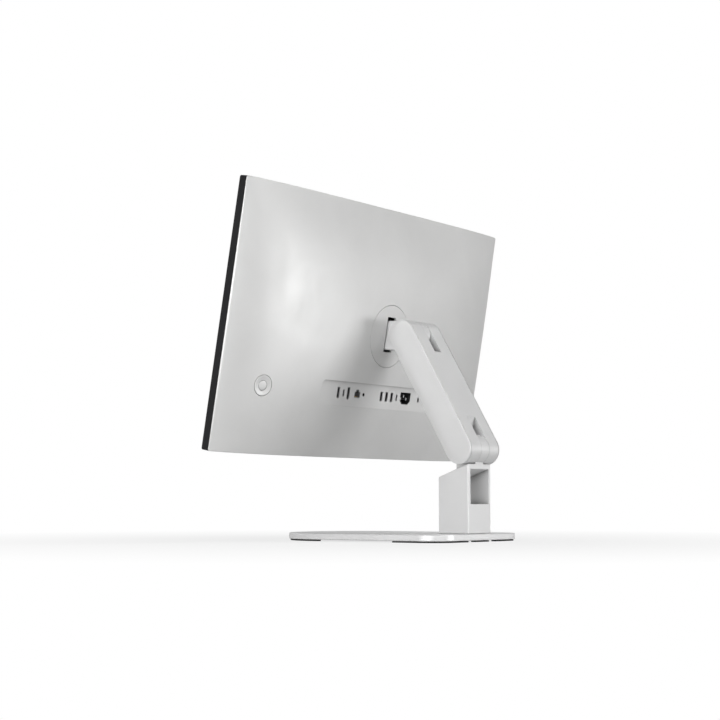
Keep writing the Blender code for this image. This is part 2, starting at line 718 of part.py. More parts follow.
def build_arm_fittings(frame):
    """Side caps, hinge pins and the two springs that balance the screen's weight."""
    stadium = capsule((0, 0), (0, ARM_LENGTH), HINGE_RADIUS)
    thickness = 0.0026
    for side, label in ((1, "left"), (-1, "right")):
        centre = (side * (ARM_BODY_WIDTH / 2 + GAP + thickness / 2), 0, 0)
        cap = slab(f"arm_cap_{label}", frame, [stadium], thickness, centre, SIDE, "silver_metal")
        soften(cap, 0.0012, 2)
        turns, steps, pitch = 5, 10, 0.0031
        coil = [
            (
                side * (0.0165 + pitch * k / steps),
                SPRING_RADIUS * math.cos(2 * math.pi * k / steps),
                SPRING_RADIUS * math.sin(2 * math.pi * k / steps),
            )
            for k in range(turns * steps + 1)
        ]
        tube(f"lift_spring_{label}", frame, coil, 0.0013, "spring_steel")
    cylinder("lower_hinge_pin", frame, LOWER_PIN, 0.067, (0, 0, 0), "X", "steel")
    cylinder("upper_hinge_pin", frame, UPPER_PIN, 0.067, (0, 0, ARM_LENGTH), "X", "steel")


def build_level_link(frame):
    """The rod beside the arm's axis that keeps the neck level as the arm swings."""
    far = (-ARM_LENGTH * math.sin(ARM_LEAN), ARM_LENGTH * math.cos(ARM_LEAN))
    outline = capsule((0, 0), far, 0.003, steps=6)
    link = slab("level_link", frame, [outline], 0.0044, (0, 0, 0), SIDE, "steel")
    for name, (y, z) in (("link_foot", (0, 0)), ("link_head", far)):
        fuse(link, cylinder(name, frame, LINK_EYE, 0.0044, (0, y, z), "X"))
    cut(
        link,
        cylinder("link_foot_bore", frame, LINK_PIN + PIN_PLAY, 0.02, (0, 0, 0), "X", sides=16),
        cylinder("link_head_bore", frame, LINK_PIN + 2 * PIN_PLAY, 0.02, (0, *far), "X", sides=16),
    )


# ---- column and foot -----------------------------------------------------------------


def build_column(frame):
    """The column with its cable window, and the tongue of the lower hinge on top."""
    y, z = LOWER_HINGE.y, LOWER_HINGE.z
    slope = math.tan(COLUMN_TOP_SLOPE)
    front_top = COLUMN_REAR_TOP - (COLUMN_REAR - COLUMN_FRONT) * slope
    foot = PLATE_TOP + GAP
    rear_corners = [(COLUMN_REAR, foot), (COLUMN_REAR, COLUMN_REAR_TOP)]
    side = [(COLUMN_FRONT, foot), *rear_corners, (COLUMN_FRONT, front_top)]
    column = slab("column", frame, [side], COLUMN_WIDTH, (0, 0, 0), SIDE, "silver_metal")
    soften(column, 0.0015, 2, 60)
    root = COLUMN_REAR_TOP - 0.003
    tongue_front = y - HINGE_RADIUS
    meets_rear = math.degrees(math.acos((COLUMN_REAR - y) / HINGE_RADIUS))
    tongue = [
        *arc((y, z), HINGE_RADIUS, -meets_rear, 180, 20),
        (tongue_front, root - (COLUMN_REAR - tongue_front) * slope),
        (COLUMN_REAR, root),
    ]
    fuse(column, slab("tongue", frame, [tongue], TONGUE_WIDTH, (0, 0, 0), SIDE))
    ceiling = COLUMN_REAR_TOP - WINDOW_CEILING_DROP
    back, front = COLUMN_REAR + 0.01, COLUMN_FRONT - 0.01
    window = [
        (front, WINDOW_SILL),
        (back, WINDOW_SILL),
        (back, ceiling + 0.01 * slope),
        (front, ceiling - (COLUMN_REAR - front) * slope),
    ]
    first, last = (90 + math.degrees(lean) for lean in (LEAN_UP, LEAN_DOWN))
    pivot = (y + LINK_PIVOT[0], z + LINK_PIVOT[1])
    cut(
        column,
        slab("window", frame, [window], WINDOW_WIDTH, (0, 0, 0), SIDE),
        cylinder("tongue_bore", frame, LOWER_PIN + PIN_PLAY, 0.03, (0, y, z), "X"),
        link_slot("tongue_link_slot", frame, pivot, first, last),
    )
    return column


def build_screws(frame, column, plate):
    """Two screws up through the foot into the column."""
    y = (COLUMN_FRONT + COLUMN_REAR) / 2
    for side, label in ((1, "left"), (-1, "right")):
        x = side * 0.014
        screw = cylinder(f"column_screw_{label}", frame, 0.004, 0.003, (x, y, 0.0045), "Z", "steel", 16)
        fuse(screw, cylinder(f"shank_{label}", frame, 0.0022, 0.018, (x, y, 0.0145), "Z", sides=12))
        cut(column, cylinder(f"thread_{label}", frame, 0.0026, 0.020, (x, y, 0.0160), "Z", sides=12))
        cut(
            plate,
            cylinder(f"counterbore_{label}", frame, 0.0045, 0.010, (x, y, 0.0013), "Z", sides=16),
            cylinder(f"clearance_{label}", frame, 0.0026, 0.030, (x, y, 0.0100), "Z", sides=12),
        )


def plate_outline(inset):
    """The foot's outline, pulled in: a full round front and two smaller rear corners."""
    rear_x = PLATE_HALF_WIDTH - PLATE_REAR_RADIUS
    front_x = PLATE_HALF_WIDTH - PLATE_FRONT_RADIUS
    rear_y = PLATE_REAR - PLATE_REAR_RADIUS
    front_y = PLATE_FRONT + PLATE_FRONT_RADIUS
    rear, front = PLATE_REAR_RADIUS - inset, PLATE_FRONT_RADIUS - inset
    return (
        arc((rear_x, rear_y), rear, 0, 90, 10)
        + arc((-rear_x, rear_y), rear, 90, 180, 10)
        + arc((-front_x, front_y), front, 180, 270, 20)
        + arc((front_x, front_y), front, 270, 360, 20)
    )


def foot_pad(name, frame, edge):
    """A rubber pad between two copies of part of the outline, one further in."""
    outer, inner = edge(0.002), edge(0.010)
    pad = [outer + inner[::-1]]
    slab(name, frame, pad, PLATE_BOTTOM - GAP, (0, 0, (PLATE_BOTTOM - GAP) / 2), PLAN, "black_rubber")


def build_foot(frame):
    thickness = PLATE_TOP - PLATE_BOTTOM
    middle = (0, 0, PLATE_BOTTOM + thickness / 2)
    plate = slab("base_plate", frame, [plate_outline(0)], thickness, middle, PLAN, "silver_metal")
    soften(plate, 0.001, 2, 60)
    rear_x = PLATE_HALF_WIDTH - PLATE_REAR_RADIUS
    rear_y = PLATE_REAR - PLATE_REAR_RADIUS
    front_y = PLATE_FRONT + PLATE_FRONT_RADIUS
    straight_end = 0.075
    for side, label in ((1, "left"), (-1, "right")):
        turn = (lambda angle: angle) if side > 0 else (lambda angle: 180 - angle)

        def rear_edge(inset, side=side, turn=turn):
            corner = (side * rear_x, rear_y)
            bend = arc(corner, PLATE_REAR_RADIUS - inset, turn(90), turn(0), 8)
            along_rear = (side * 0.035, PLATE_REAR - inset)
            return [along_rear, *bend, (side * (PLATE_HALF_WIDTH - inset), straight_end)]

        def front_edge(inset, side=side, turn=turn):
            corner = (side * (PLATE_HALF_WIDTH - PLATE_FRONT_RADIUS), front_y)
            return arc(corner, PLATE_FRONT_RADIUS - inset, turn(0), turn(-75), 14)

        foot_pad(f"foot_rear_{label}", frame, rear_edge)
        foot_pad(f"foot_front_{label}", frame, front_edge)
    half = 0.017
    foot_pad("foot_rear_middle", frame, lambda inset: [(x, PLATE_REAR - inset) for x in (-half, half)])
    return plate


# ---- assembly --------------------------------------------------------------------------


def in_world(display_point):
    """A (depth, height) point of the display, as it stands in the world's YZ plane."""
    depth, height = display_point
    lean = SCREEN_LEAN
    return Vector((
        0,
        depth * math.cos(lean) + height * math.sin(lean),
        height * math.cos(lean) - depth * math.sin(lean),
    ))


MIDDLE_LEAN = (LEAN_UP + LEAN_DOWN) / 2
LINK_PIVOT = (-LINK_OFFSET * math.cos(MIDDLE_LEAN), -LINK_OFFSET * math.sin(MIDDLE_LEAN))
UPPER_HINGE = LOWER_HINGE + ARM_LENGTH * Vector((0, -math.sin(ARM_LEAN), math.cos(ARM_LEAN)))
HUB_ORIGIN = UPPER_HINGE - in_world(UPPER_HINGE_IN_DISPLAY)
TILT_HINGE = HUB_ORIGIN + in_world(TILT_HINGE_IN_DISPLAY)

clear_scene()
PARTS = new_collection("all_in_one_pc")
CUTTERS = new_collection("cutters")
MATERIALS = {name: new_material(name) for name in COLOURS}

STAND_FRAME = new_frame("stand_frame", (0, 0, 0))
ARM_FRAME = new_frame("arm_frame", LOWER_HINGE, (ARM_LEAN, 0, 0))
LINK_FRAME = new_frame("link_frame", LOWER_HINGE + Vector((0, *LINK_PIVOT)))
NECK_FRAME = new_frame("neck_frame", UPPER_HINGE)
DISPLAY_FRAME = new_frame("display_frame", HUB_ORIGIN, (-SCREEN_LEAN, 0, 0))
button_x, button_z = BUTTON_PLACE
button_spot = Vector((button_x, dome_depth(*BUTTON_PLACE), button_z))
button_turn = Vector((0, 1, 0)).rotation_difference(dome_normal(*BUTTON_PLACE)).to_euler()
BUTTON_FRAME = new_frame("button_frame", button_spot, button_turn, DISPLAY_FRAME)
FAN_FRAME = new_frame("fan_frame", (FAN_CENTRE[0], 0.0205, FAN_CENTRE[1]), parent=DISPLAY_FRAME)

foot_plate = build_foot(STAND_FRAME)
build_screws(STAND_FRAME, build_column(STAND_FRAME), foot_plate)
build_arm_body(ARM_FRAME)
build_arm_fittings(ARM_FRAME)
build_level_link(LINK_FRAME)
build_neck(NECK_FRAME)
build_hub(DISPLAY_FRAME)
build_front_frame(DISPLAY_FRAME)
build_screen_stack(DISPLAY_FRAME)
build_chassis(DISPLAY_FRAME)
build_electronics(DISPLAY_FRAME)
build_cooling(DISPLAY_FRAME)
build_sockets(DISPLAY_FRAME)
build_rear_cover(DISPLAY_FRAME)
build_button_surround(BUTTON_FRAME)
build_power_button(BUTTON_FRAME)
build_fan(FAN_FRAME)
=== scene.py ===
import json
import math

import bmesh
import bpy
from mathutils import Matrix, Vector


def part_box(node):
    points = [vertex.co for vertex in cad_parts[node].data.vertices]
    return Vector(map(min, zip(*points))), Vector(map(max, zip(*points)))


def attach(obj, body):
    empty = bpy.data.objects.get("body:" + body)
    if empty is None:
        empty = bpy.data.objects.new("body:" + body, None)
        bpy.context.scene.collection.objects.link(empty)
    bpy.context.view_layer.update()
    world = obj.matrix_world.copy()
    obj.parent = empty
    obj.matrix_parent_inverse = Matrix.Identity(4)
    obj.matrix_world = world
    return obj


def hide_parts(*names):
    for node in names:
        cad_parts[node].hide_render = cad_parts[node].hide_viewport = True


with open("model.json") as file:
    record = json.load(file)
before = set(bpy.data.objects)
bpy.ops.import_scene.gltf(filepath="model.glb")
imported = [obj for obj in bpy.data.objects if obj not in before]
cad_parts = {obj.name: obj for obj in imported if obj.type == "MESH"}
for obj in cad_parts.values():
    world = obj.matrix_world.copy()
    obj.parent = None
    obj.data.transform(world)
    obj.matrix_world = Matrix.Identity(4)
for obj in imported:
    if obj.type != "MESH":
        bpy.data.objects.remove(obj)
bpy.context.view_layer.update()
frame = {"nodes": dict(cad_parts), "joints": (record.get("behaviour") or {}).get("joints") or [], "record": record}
NODES = frame["nodes"]
JOINTS = {joint["name"]: joint for joint in frame["joints"]}
X_AXIS = Vector((1, 0, 0))

# Every length here is in metres, and every angle in degrees.
HINGE_RADIUS = 0.021
FRAME_CORNER = 0.003
FAR = 0.03  # puts a cutter's end well clear of what it cuts
POINT = 0.00002  # the radius of a ring that closes a turned piece
# Widths of softened edges, from the castings down to the socket tongues
CAST_ROUND = 0.0005
EDGE_ROUND = 0.0004
FINE_ROUND = 0.0003
TINY_ROUND = 0.00015

# Rear shell
SHELL_FILLET = 0.0012
SHELL_CORNER = 0.003
SHELL_WALL = 0.0024
SHELL_SIDE_WALL = 0.0025
SHELL_EDGE_ROUND = 0.00045
HUB_HOLE = (0.03, 0.08)  # the depths that the disc's hole is cut between
HUB_GAP = 0.0006
BUTTON_HOLE_GAP = 0.0004
PORT_GAP = 0.0003
FILLET_CUTS = [0, 0.00012, 0.0003, 0.00055, 0.00085, 0.0012, 0.0019, 0.003]  # mesh lines in from the edge

# The domed back: its depth behind the screen's face, and how it falls towards the sides and ends
SHELL_EDGE = 0.0123
SHELL_PEAK = 0.0542
DOME_HALF_WIDTH = 0.307
DOME_SIDE_POWER = 0.75
DOME_END_DROP = 0.554
DOME_END_POWER = 2.6
DOME_HALF_HEIGHT = 0.183

# Port bay
BAY_SIZE = (0.269, 0.0355)
BAY_CENTRE_HEIGHT = -0.0893
BAY_FLOOR = 0.0479
BAY_WALL = 0.002
BAY_RADIUS = 0.006
PORT_HEIGHT = -0.0882
SOCKET_WALL = 0.0006
SOCKET_DEPTH = 0.011
TONGUE_RECESS = 0.0012
SOCKET_LIP = 0.00015
SOCKET_ROOT = 0.0001
# Contacts on a tongue: depth in and out of its face, in from its ends, half width as a share of pitch
CONTACT_SUNK, CONTACT_PROUD = 0.00002, 0.00006
CONTACT_TIP, CONTACT_ROOT = 0.0006, 0.001
CONTACT_SHARE = 0.25
# Pins of the mains inlet: (across, up) from its middle, their size, and how far back they stop
INLET_PINS = ((-0.007, -0.001), (0, 0.003), (0.007, -0.001))
PIN_SIZE = (0.002, 0.004)
PIN_RECESS = 0.003
# Wires of the network socket, along its lower wall
WIRE_COUNT = 8
WIRE_PITCH = 0.00102
WIRE_HALF = 0.0002
WIRE_REACH = (0.0095, 0.0015)
WIRE_BAND = (-0.0041, -0.0034)
AUDIO_RIM = (0.0019, 0.0021, 0.00235)
AUDIO_RIM_DEPTH = 0.0004
AUDIO_RIM_RISE = 0.00018

# Vents in the lower and upper walls: (first slot's place, how many, which wall), and one slot's size
VENT_ROWS = ((-0.085, 14, -1), (0.122, 11, 1))
VENT_SLOT = (0.0026, 0.008)
VENT_PITCH = 0.0068
VENT_DEPTH = 0.0195
VENT_REACH = 0.006

# Frame round the screen: ledges in from its outer edge, and back from its face
FRAME_LIP = 0.0018
FRAME_LEDGE = 0.0045
FRAME_ROUND = 0.0006
GLASS_SEAT = 0.0026
GLASS_ROUND = 0.0003
LEDGE_BACK = 0.0042
FRAME_CHAMFER = 0.0002
# Camera and its light: name, place across, radius, look; then how proud, how deep set, and the bevel
CAMERA_DISCS = (("camera_lens", 0.0, 0.0024, "lens"), ("camera_light", 0.012, 0.0007, "white_sheet"))
DISC_PROUD, DISC_SET, DISC_BEVEL = 0.00005, 0.0001, 0.0002

# Power button: gaps round its ring and cap, how deep both are dished or domed, and the ring's flat lip
RING_GAP = 0.0003
CAP_TRIM = 0.0001
CAP_GAP = 0.0006
DISH = 0.0008
LIP = 0.0009
CURVE_STEPS = 8
BUTTON_BEVEL = 0.0003
CAP_BEVEL = 0.0002

# Hub disc, and the slot that the neck goes through
DISC_ROUND = 0.0005
HUB_SLOT = (0.0198, 0.0508)
HUB_SLOT_CORNER = 0.0012
HUB_SLOT_LIFT = 0.0024

# Stand
BORE_UPPER = 0.00535
BORE_LOWER = 0.00635
BORE_TILT = 0.00435
NECK_ROUND = 0.0014
LINK_RADIUS = 0.0042
LINK_PIN_RADIUS = 0.0021
LINK_PIN_HALF = 0.01
LINK_HALF = 0.0027
LINK_REACH = 0.05
LEANS = (5.3, 67.3)  # the arm's lean from upright at its two limits
TONGUE_HALF = 0.0098
FORK_GAP = 0.0005
ARM_SEAM = 0.0003
LINK_WAY = ((-0.005, -0.0175, 0.015), (0.005, 0.004, 0.175))
LOWER_FORK_TOP = 0.0225
UPPER_FORK_DEPTH = 0.0239
SLIVER = 0.0001  # keeps a ramp's sides clear of its fork's
POCKET_INNER = 0.0135
POCKET_PAST = 0.002
POCKET_RIM = 0.0035
BOSS_RADIUS = 0.0095
BOSS_HALF = 0.05
# Ramps cut in the arm's rear face beside each fork: (depth from the axis, place along the arm)
LOWER_SCOOP = [(0.002, 0.0235), (0.009, 0.0265), (0.013, 0.0315), (0.0175, 0.0375), (0.021, 0.041)]
UPPER_SCOOP = [(0.002, 0.158), (0.0175, 0.1525), (0.021, 0.149)]
SCOOP_MOUTHS = (0.018, 0.175)
# Arm covers: the groove at the arm, and how far the cushion draws in at its front and rear
GROOVE = 0.0015
GROOVE_TOP = 0.001
CUSHION_FRONT = 0.0165
CUSHION_REAR = 0.0014
CUSHION_POWER = 2.4
CUSHION_STEPS = 16
# Column
COLUMN_REAR = 0.1483
COLUMN_TOP_REAR = 0.1074
COLUMN_SLOPE = 20.2
COLUMN_ROUND = 0.0016
WINDOW_HALF = 0.0233
WINDOW_SILL = 0.0517
WINDOW_LINTEL = 0.0072
WINDOW_PAST = 0.01
TONGUE_ROOT = 0.003  # how far the tongue's root lies below the column's top
TONGUE_INSET = 0.00002
# Foot
FOOT_REAR_RADIUS = 0.036
FOOT_FRONT_RADIUS = 0.105
FOOT_ROUND = 0.0013
FOOT_CROWN = 0.02
SCREW_RADIUS = 0.0026
SCREW_TOP = 0.026
SCREW_PAST = 0.02
SCREW_SINK = 0.0045
SCREW_SINK_TOP = 0.0063


# ---- frames ----


def on_middle(origin, y, z):
    """A frame on the object's middle plane: X across, then the two axes given."""
    columns = Matrix((X_AXIS, Vector(y), Vector(z))).transposed().to_4x4()
    return Matrix.Translation(Vector(origin)) @ columns


LOWER_HINGE = Vector(JOINTS["arm_lift"]["pos_m"])
UPPER_HINGE = Vector(JOINTS["neck_level"]["pos_m"])
TILT_HINGE = Vector(JOINTS["screen_tilt"]["pos_m"])
DEPTH_AXIS = Vector(JOINTS["screen_roll"]["axis"]).normalized()
DISPLAY = on_middle(JOINTS["screen_roll"]["pos_m"], DEPTH_AXIS, X_AXIS.cross(DEPTH_AXIS))
ARM_AXIS = (UPPER_HINGE - LOWER_HINGE).normalized()
ARM_LENGTH = (UPPER_HINGE - LOWER_HINGE).length
ARM = on_middle(LOWER_HINGE, ARM_AXIS.cross(X_AXIS), ARM_AXIS)
WORLD = Matrix.Identity(4)
NECK = Matrix.Translation(UPPER_HINGE)


def extent(node, matrix):
    """(lowest corner, highest corner) of a CAD node, measured along a frame's axes."""
    back = matrix.inverted()
    points = [back @ vert.co for vert in NODES[node].data.vertices]
    return (
        Vector([min(p[k] for p in points) for k in range(3)]),
        Vector([max(p[k] for p in points) for k in range(3)]),
    )


# ---- mesh helpers ----


def add(name, bm, matrix=WORLD):
    """The mesh as an object, turned from its frame into the world's axes."""
    bmesh.ops.transform(bm, matrix=matrix, verts=bm.verts)
    bmesh.ops.recalc_face_normals(bm, faces=bm.faces)
    mesh = bpy.data.meshes.new(name)
    bm.to_mesh(mesh)
    bm.free()
    obj = bpy.data.objects.new(name, mesh)
    bpy.context.scene.collection.objects.link(obj)
    return obj


def loft(name, rings, matrix=WORLD, hollow=False):
    """Rings of points joined one to the next. The two ends are capped, or joined if hollow."""
    bm = bmesh.new()
    loops = [[bm.verts.new(point) for point in ring] for ring in rings]
    for first, second in zip(loops, loops[1:] + (loops[:1] if hollow else [])):
        for k in range(len(first)):
            n = (k + 1) % len(first)
            bm.faces.new((first[k], first[n], second[n], second[k]))
    if not hollow:
        bm.faces.new(loops[0])
        bm.faces.new(loops[-1])
    return add(name, bm, matrix)


def settle(obj):
    """Applies the object's modifiers to its mesh."""
    graph = bpy.context.evaluated_depsgraph_get()
    mesh = bpy.data.meshes.new_from_object(obj.evaluated_get(graph))
    obj.modifiers.clear()
    obj.data = mesh


def carve(obj, *cutters, operation="DIFFERENCE"):
    """Cuts the other objects from this one, or joins them to it, and removes them."""
    for cutter in cutters:
        modifier = obj.modifiers.new("Boolean", "BOOLEAN")
        modifier.operation = operation
        modifier.solver = "EXACT"
        modifier.object = cutter
    settle(obj)
    for cutter in cutters:
        bpy.data.objects.remove(cutter)
    return obj


def round_edges(obj, width, segments=3, angle=35):
    bevel = obj.modifiers.new("Bevel", "BEVEL")
    bevel.width = width
    bevel.segments = segments
    bevel.limit_method = "ANGLE"
    bevel.angle_limit = math.radians(angle)
    bevel.miter_outer = "MITER_ARC"
    settle(obj)


def dress(obj, body, look, slot_name, *nodes, sharp=40):
    """Smooth shading, the material, the body it rides on, and the CAD nodes it stands for."""
    mesh = obj.data
    mesh.materials.clear()
    mesh.materials.append(LOOKS[look])
    mesh.shade_smooth()
    mesh.set_sharp_from_angle(angle=math.radians(sharp))
    weighted = obj.modifiers.new("WeightedNormal", "WEIGHTED_NORMAL")
    weighted.keep_sharp = True
    settle(obj)
    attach(obj, body)
    if nodes:
        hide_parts(*nodes)


def arc(centre, radius, start, end, steps):
    angles = [math.radians(start + (end - start) * k / steps) for k in range(steps + 1)]
    return [(centre[0] + radius * math.cos(a), centre[1] + radius * math.sin(a)) for a in angles]


def circle(centre, radius, sides=96):
    return arc(centre, radius, 0, 360, sides)[:-1]


def rounded_rectangle(width, height, radius, centre=(0, 0), steps=10):
    across, up = width / 2 - radius, height / 2 - radius
    points = []
    for quarter, (sx, sy) in enumerate(((1, 1), (-1, 1), (-1, -1), (1, -1))):
        corner = (centre[0] + sx * across, centre[1] + sy * up)
        points += arc(corner, radius, 90 * quarter, 90 * quarter + 90, steps)
    return points


def capsule(start, end, radius, steps=40):
    """The outline of a bar with round ends, from one centre to the other."""
    heading = math.degrees(math.atan2(end[1] - start[1], end[0] - start[0]))
    return arc(end, radius, heading - 90, heading + 90, steps) + arc(
        start, radius, heading + 90, heading + 270, steps
    )


def fillet(radius, steps=5):
    """(inset, rise) points of a quarter round, from its outer wall to its top face."""
    turns = [math.pi / 2 * k / steps for k in range(steps + 1)]
    return [(radius * (1 - math.cos(a)), radius * math.sin(a)) for a in turns]


def plate_rings(outline, low, high, radius, lay, crown=()):
    """Rings of a plate with both edges rounded: outline(inset) in the plane, heights by lay."""
    bottom = [(inset, low + radius - rise) for inset, rise in reversed(fillet(radius))]
    top = [(inset, high - radius + rise) for inset, rise in fillet(radius)]
    return [[lay(a, b, height) for a, b in outline(inset)] for inset, height in bottom + top + list(crown)]


def lay_plan(a, b, height):
    return (a, b, height)


def lay_side(a, b, height):
    return (height, a, b)


def lay_face(a, b, height):
    return (a, height, b)


def prism(name, outline, low, high, lay, matrix=WORLD):
    """A flat outline given thickness along the axis that lay leaves over."""
    return loft(name, [[lay(a, b, height) for a, b in outline] for height in (low, high)], matrix)


def block(name, low, high):
    corners = [(low[0], low[1]), (high[0], low[1]), (high[0], high[1]), (low[0], high[1])]
    return prism(name, corners, low[2], high[2], lay_plan)


# ---- materials ----


def remap(node, *values):
    """Sets what a Map Range node takes in and what it gives out."""
    for name, value in zip(("From Min", "From Max", "To Min", "To Max"), values):
        node.inputs[name].default_value = value


class Look:
    """Builds one procedural material, node by node."""

    def __init__(self, name, roughness, metallic=0.0):
        self.material = bpy.data.materials.new(name)
        self.material.use_nodes = True
        self.tree = self.material.node_tree
        self.shader = self.tree.nodes["Principled BSDF"]
        self.set(metallic=metallic, roughness=roughness)
        self.place = self.tree.nodes.new("ShaderNodeTexCoord").outputs["Object"]

    def set(self, **values):
        for name, value in values.items():
            self.shader.inputs[name.replace("_", " ").title().replace("Ior", "IOR")].default_value = value

    def node(self, kind, **values):
        made = self.tree.nodes.new("ShaderNode" + kind)
        for name, value in values.items():
            setattr(made, name, value)
        return made

    def link(self, source, target):
        """Another node's output, a number or a colour into a socket."""
        if isinstance(source, tuple):
            target.default_value = (*source, 1)
        elif isinstance(source, (int, float)):
            target.default_value = source
        else:
            self.tree.links.new(source, target)

    def noise(self, scale, detail=3.0, stretch=(1, 1, 1), distortion=0.0):
        """Noise from 0 to 1. Scale is in features to the metre, and stretch draws them out."""
        mapping = self.node("Mapping")
        mapping.inputs["Scale"].default_value = stretch
        self.link(self.place, mapping.inputs["Vector"])
        texture = self.node("TexNoise")
        texture.inputs["Scale"].default_value = scale
        texture.inputs["Detail"].default_value = detail
        texture.inputs["Distortion"].default_value = distortion
        self.link(mapping.outputs["Vector"], texture.inputs["Vector"])
        return texture.outputs["Fac"]

    def spread(self, source, low, high, start=0.3, end=0.7):
        """The value taken from its usual range to another one."""
        ramp = self.node("MapRange")
        remap(ramp, start, end, low, high)
        self.link(source, ramp.inputs["Value"])
        return ramp.outputs["Result"]

    def maths(self, operation, first, second):
        made = self.node("Math", operation=operation)
        for value, socket in zip((first, second), made.inputs):
            self.link(value, socket)
        return made.outputs["Value"]

    def mix(self, amount, first, second):
        """Between two colours, by an amount from 0 to 1."""
        made = self.node("Mix", data_type="RGBA")
        for value, name in ((amount, "Factor"), (first, "A"), (second, "B")):
            self.link(value, made.inputs[name])
        return made.outputs["Result"]

    def worn_edges(self, radius, start=0.03, end=0.28):
        """Up to 1 on edges rubbed by hands and cloths, broken up along them, and 0 elsewhere."""
        rounded = self.node("Bevel", samples=4)
        rounded.inputs["Radius"].default_value = radius
        geometry = self.node("NewGeometry")
        product = self.node("VectorMath", operation="DOT_PRODUCT")
        self.link(rounded.outputs["Normal"], product.inputs[0])
        self.link(geometry.outputs["Normal"], product.inputs[1])
        edge = self.spread(self.maths("SUBTRACT", 1.0, product.outputs["Value"]), 0, 1, start, end)
        return self.maths("MULTIPLY", edge, self.spread(self.noise(220, 4), 0.25, 1.0))

    def painted_shade_openness(self, distance, deepest=0.15, open_from=0.8):
        """1 on open surfaces, falling to 0 down in the piece's own recesses; it sets where shade is painted into
        the colour.
        """
        recess_shade = self.node("AmbientOcclusion", samples=6, only_local=True)
        recess_shade.inputs["Distance"].default_value = distance
        return self.spread(recess_shade.outputs["AO"], 0, 1, deepest, open_from)

    def bump(self, height, distance, strength=1.0):
        """Relief on the surface. More than one call adds up."""
        made = self.node("Bump")
        made.inputs["Strength"].default_value = strength
        made.inputs["Distance"].default_value = distance
        self.link(height, made.inputs["Height"])
        socket = self.shader.inputs["Normal"]
        if socket.is_linked:
            self.link(socket.links[0].from_socket, made.inputs["Normal"])
        self.link(made.outputs["Normal"], socket)

    def colour(self, socket):
        self.link(socket, self.shader.inputs["Base Color"])

    def gloss(self, socket):
        self.link(socket, self.shader.inputs["Roughness"])


def tone(colour, share):
    return tuple(min(1.0, channel * share) for channel in colour)


# The tuple after depth sets the painted shade in recesses: how far it reaches and how dark it gets.
def blasted(name, base, roughness, metallic, grain, depth, painted_recess_shade=(0.012, 0.3), wear=0.12):
    """Fine bead-blasted or painted metal: sparkle, clouding, rubbed edges, and painted shade that darkens its
    recesses.
    """
    look = Look(name, roughness, metallic)
    cloud, sparkle = look.noise(9, 4, distortion=0.4), look.noise(grain, 2)
    body = look.mix(look.spread(cloud, 0, 1), tone(base, 0.965), tone(base, 1.03))
    flecked = look.mix(look.spread(sparkle, 0, 0.10, 0.5, 0.8), body, (1.0, 1.0, 1.0))
    edges = look.worn_edges(0.0006)
    worn = look.mix(look.maths("MULTIPLY", edges, wear), flecked, tone(base, 1.2))
    # Painted shade: the colour darkens to a share of the base down in the piece's own recesses.
    look.colour(look.mix(look.painted_shade_openness(painted_recess_shade[0]), tone(base, painted_recess_shade[1]), worn))
    patches = look.spread(look.noise(34, 5), roughness - 0.035, roughness + 0.045)
    look.gloss(look.maths("SUBTRACT", patches, look.maths("MULTIPLY", edges, 0.08)))
    look.bump(sparkle, depth, 0.35)
    return look.material


def moulded(name, base, roughness, grain, depth, fade=1.6, shine=0.5):
    """Moulded plastic or rubber: spark-eroded grain, faint clouding, paler edges."""
    look = Look(name, roughness)
    look.set(specular_ior_level=shine)
    cells = look.noise(grain, 3)
    body = look.mix(look.spread(look.noise(14, 4), 0, 1), tone(base, 0.85), tone(base, 1.2))
    look.colour(look.mix(look.worn_edges(0.0005), body, tone(base, fade)))
    look.gloss(look.spread(look.noise(60, 4), roughness - 0.05, roughness + 0.07))
    look.bump(cells, depth, 0.4)
    return look.material


def drawn_metal(name, base, roughness, stretch, grain=600, depth=0.00004):
    """Bare metal with the marks of drawing or brushing along one direction."""
    look = Look(name, roughness, 1.0)
    lines = look.noise(grain, 3, stretch)
    look.colour(look.mix(look.spread(lines, 0, 1), tone(base, 0.82), tone(base, 1.08)))
    look.gloss(look.spread(lines, roughness - 0.08, roughness + 0.10))
    look.bump(lines, depth, 0.3)
    return look.material


def screen_glass():
    """Cover glass over black print, with the panel's deep blue-grey behind the middle."""
    look = Look("screen_glass_look", 0.05)
    look.set(coat_weight=0.6, coat_roughness=0.03)
    split = look.node("SeparateXYZ")
    look.link(look.place, split.inputs["Vector"])
    low, high = extent("light_guide", WORLD)
    across = look.maths("LESS_THAN", look.maths("ABSOLUTE", split.outputs["X"], 0), high.x - 0.0005)
    above = look.maths("GREATER_THAN", split.outputs["Z"], low.z + 0.0005)
    below = look.maths("LESS_THAN", split.outputs["Z"], high.z - 0.0005)
    inside = look.maths("MULTIPLY", across, look.maths("MULTIPLY", above, below))
    panel = look.mix(look.spread(look.noise(5, 2), 0, 1), (0.0055, 0.006, 0.0075), (0.008, 0.0085, 0.010))
    look.colour(look.mix(inside, (0.0018, 0.0018, 0.002), panel))
    look.gloss(look.spread(look.noise(18, 4, distortion=0.6), 0.035, 0.075))
    look.bump(look.noise(8, 2), 0.00002, 0.1)
    return look.material


def circuit_board():
    """Green solder mask with copper traces under it."""
    look = Look("circuit_board_look", 0.4)
    traces = look.noise(240, 1, (1, 1, 0.15))
    mask = look.spread(traces, 0, 1, 0.49, 0.53)
    look.colour(look.mix(mask, (0.008, 0.075, 0.03), (0.02, 0.16, 0.06)))
    look.gloss(look.spread(look.noise(90, 3), 0.3, 0.5))
    look.bump(mask, 0.00005, 0.4)
    return look.material


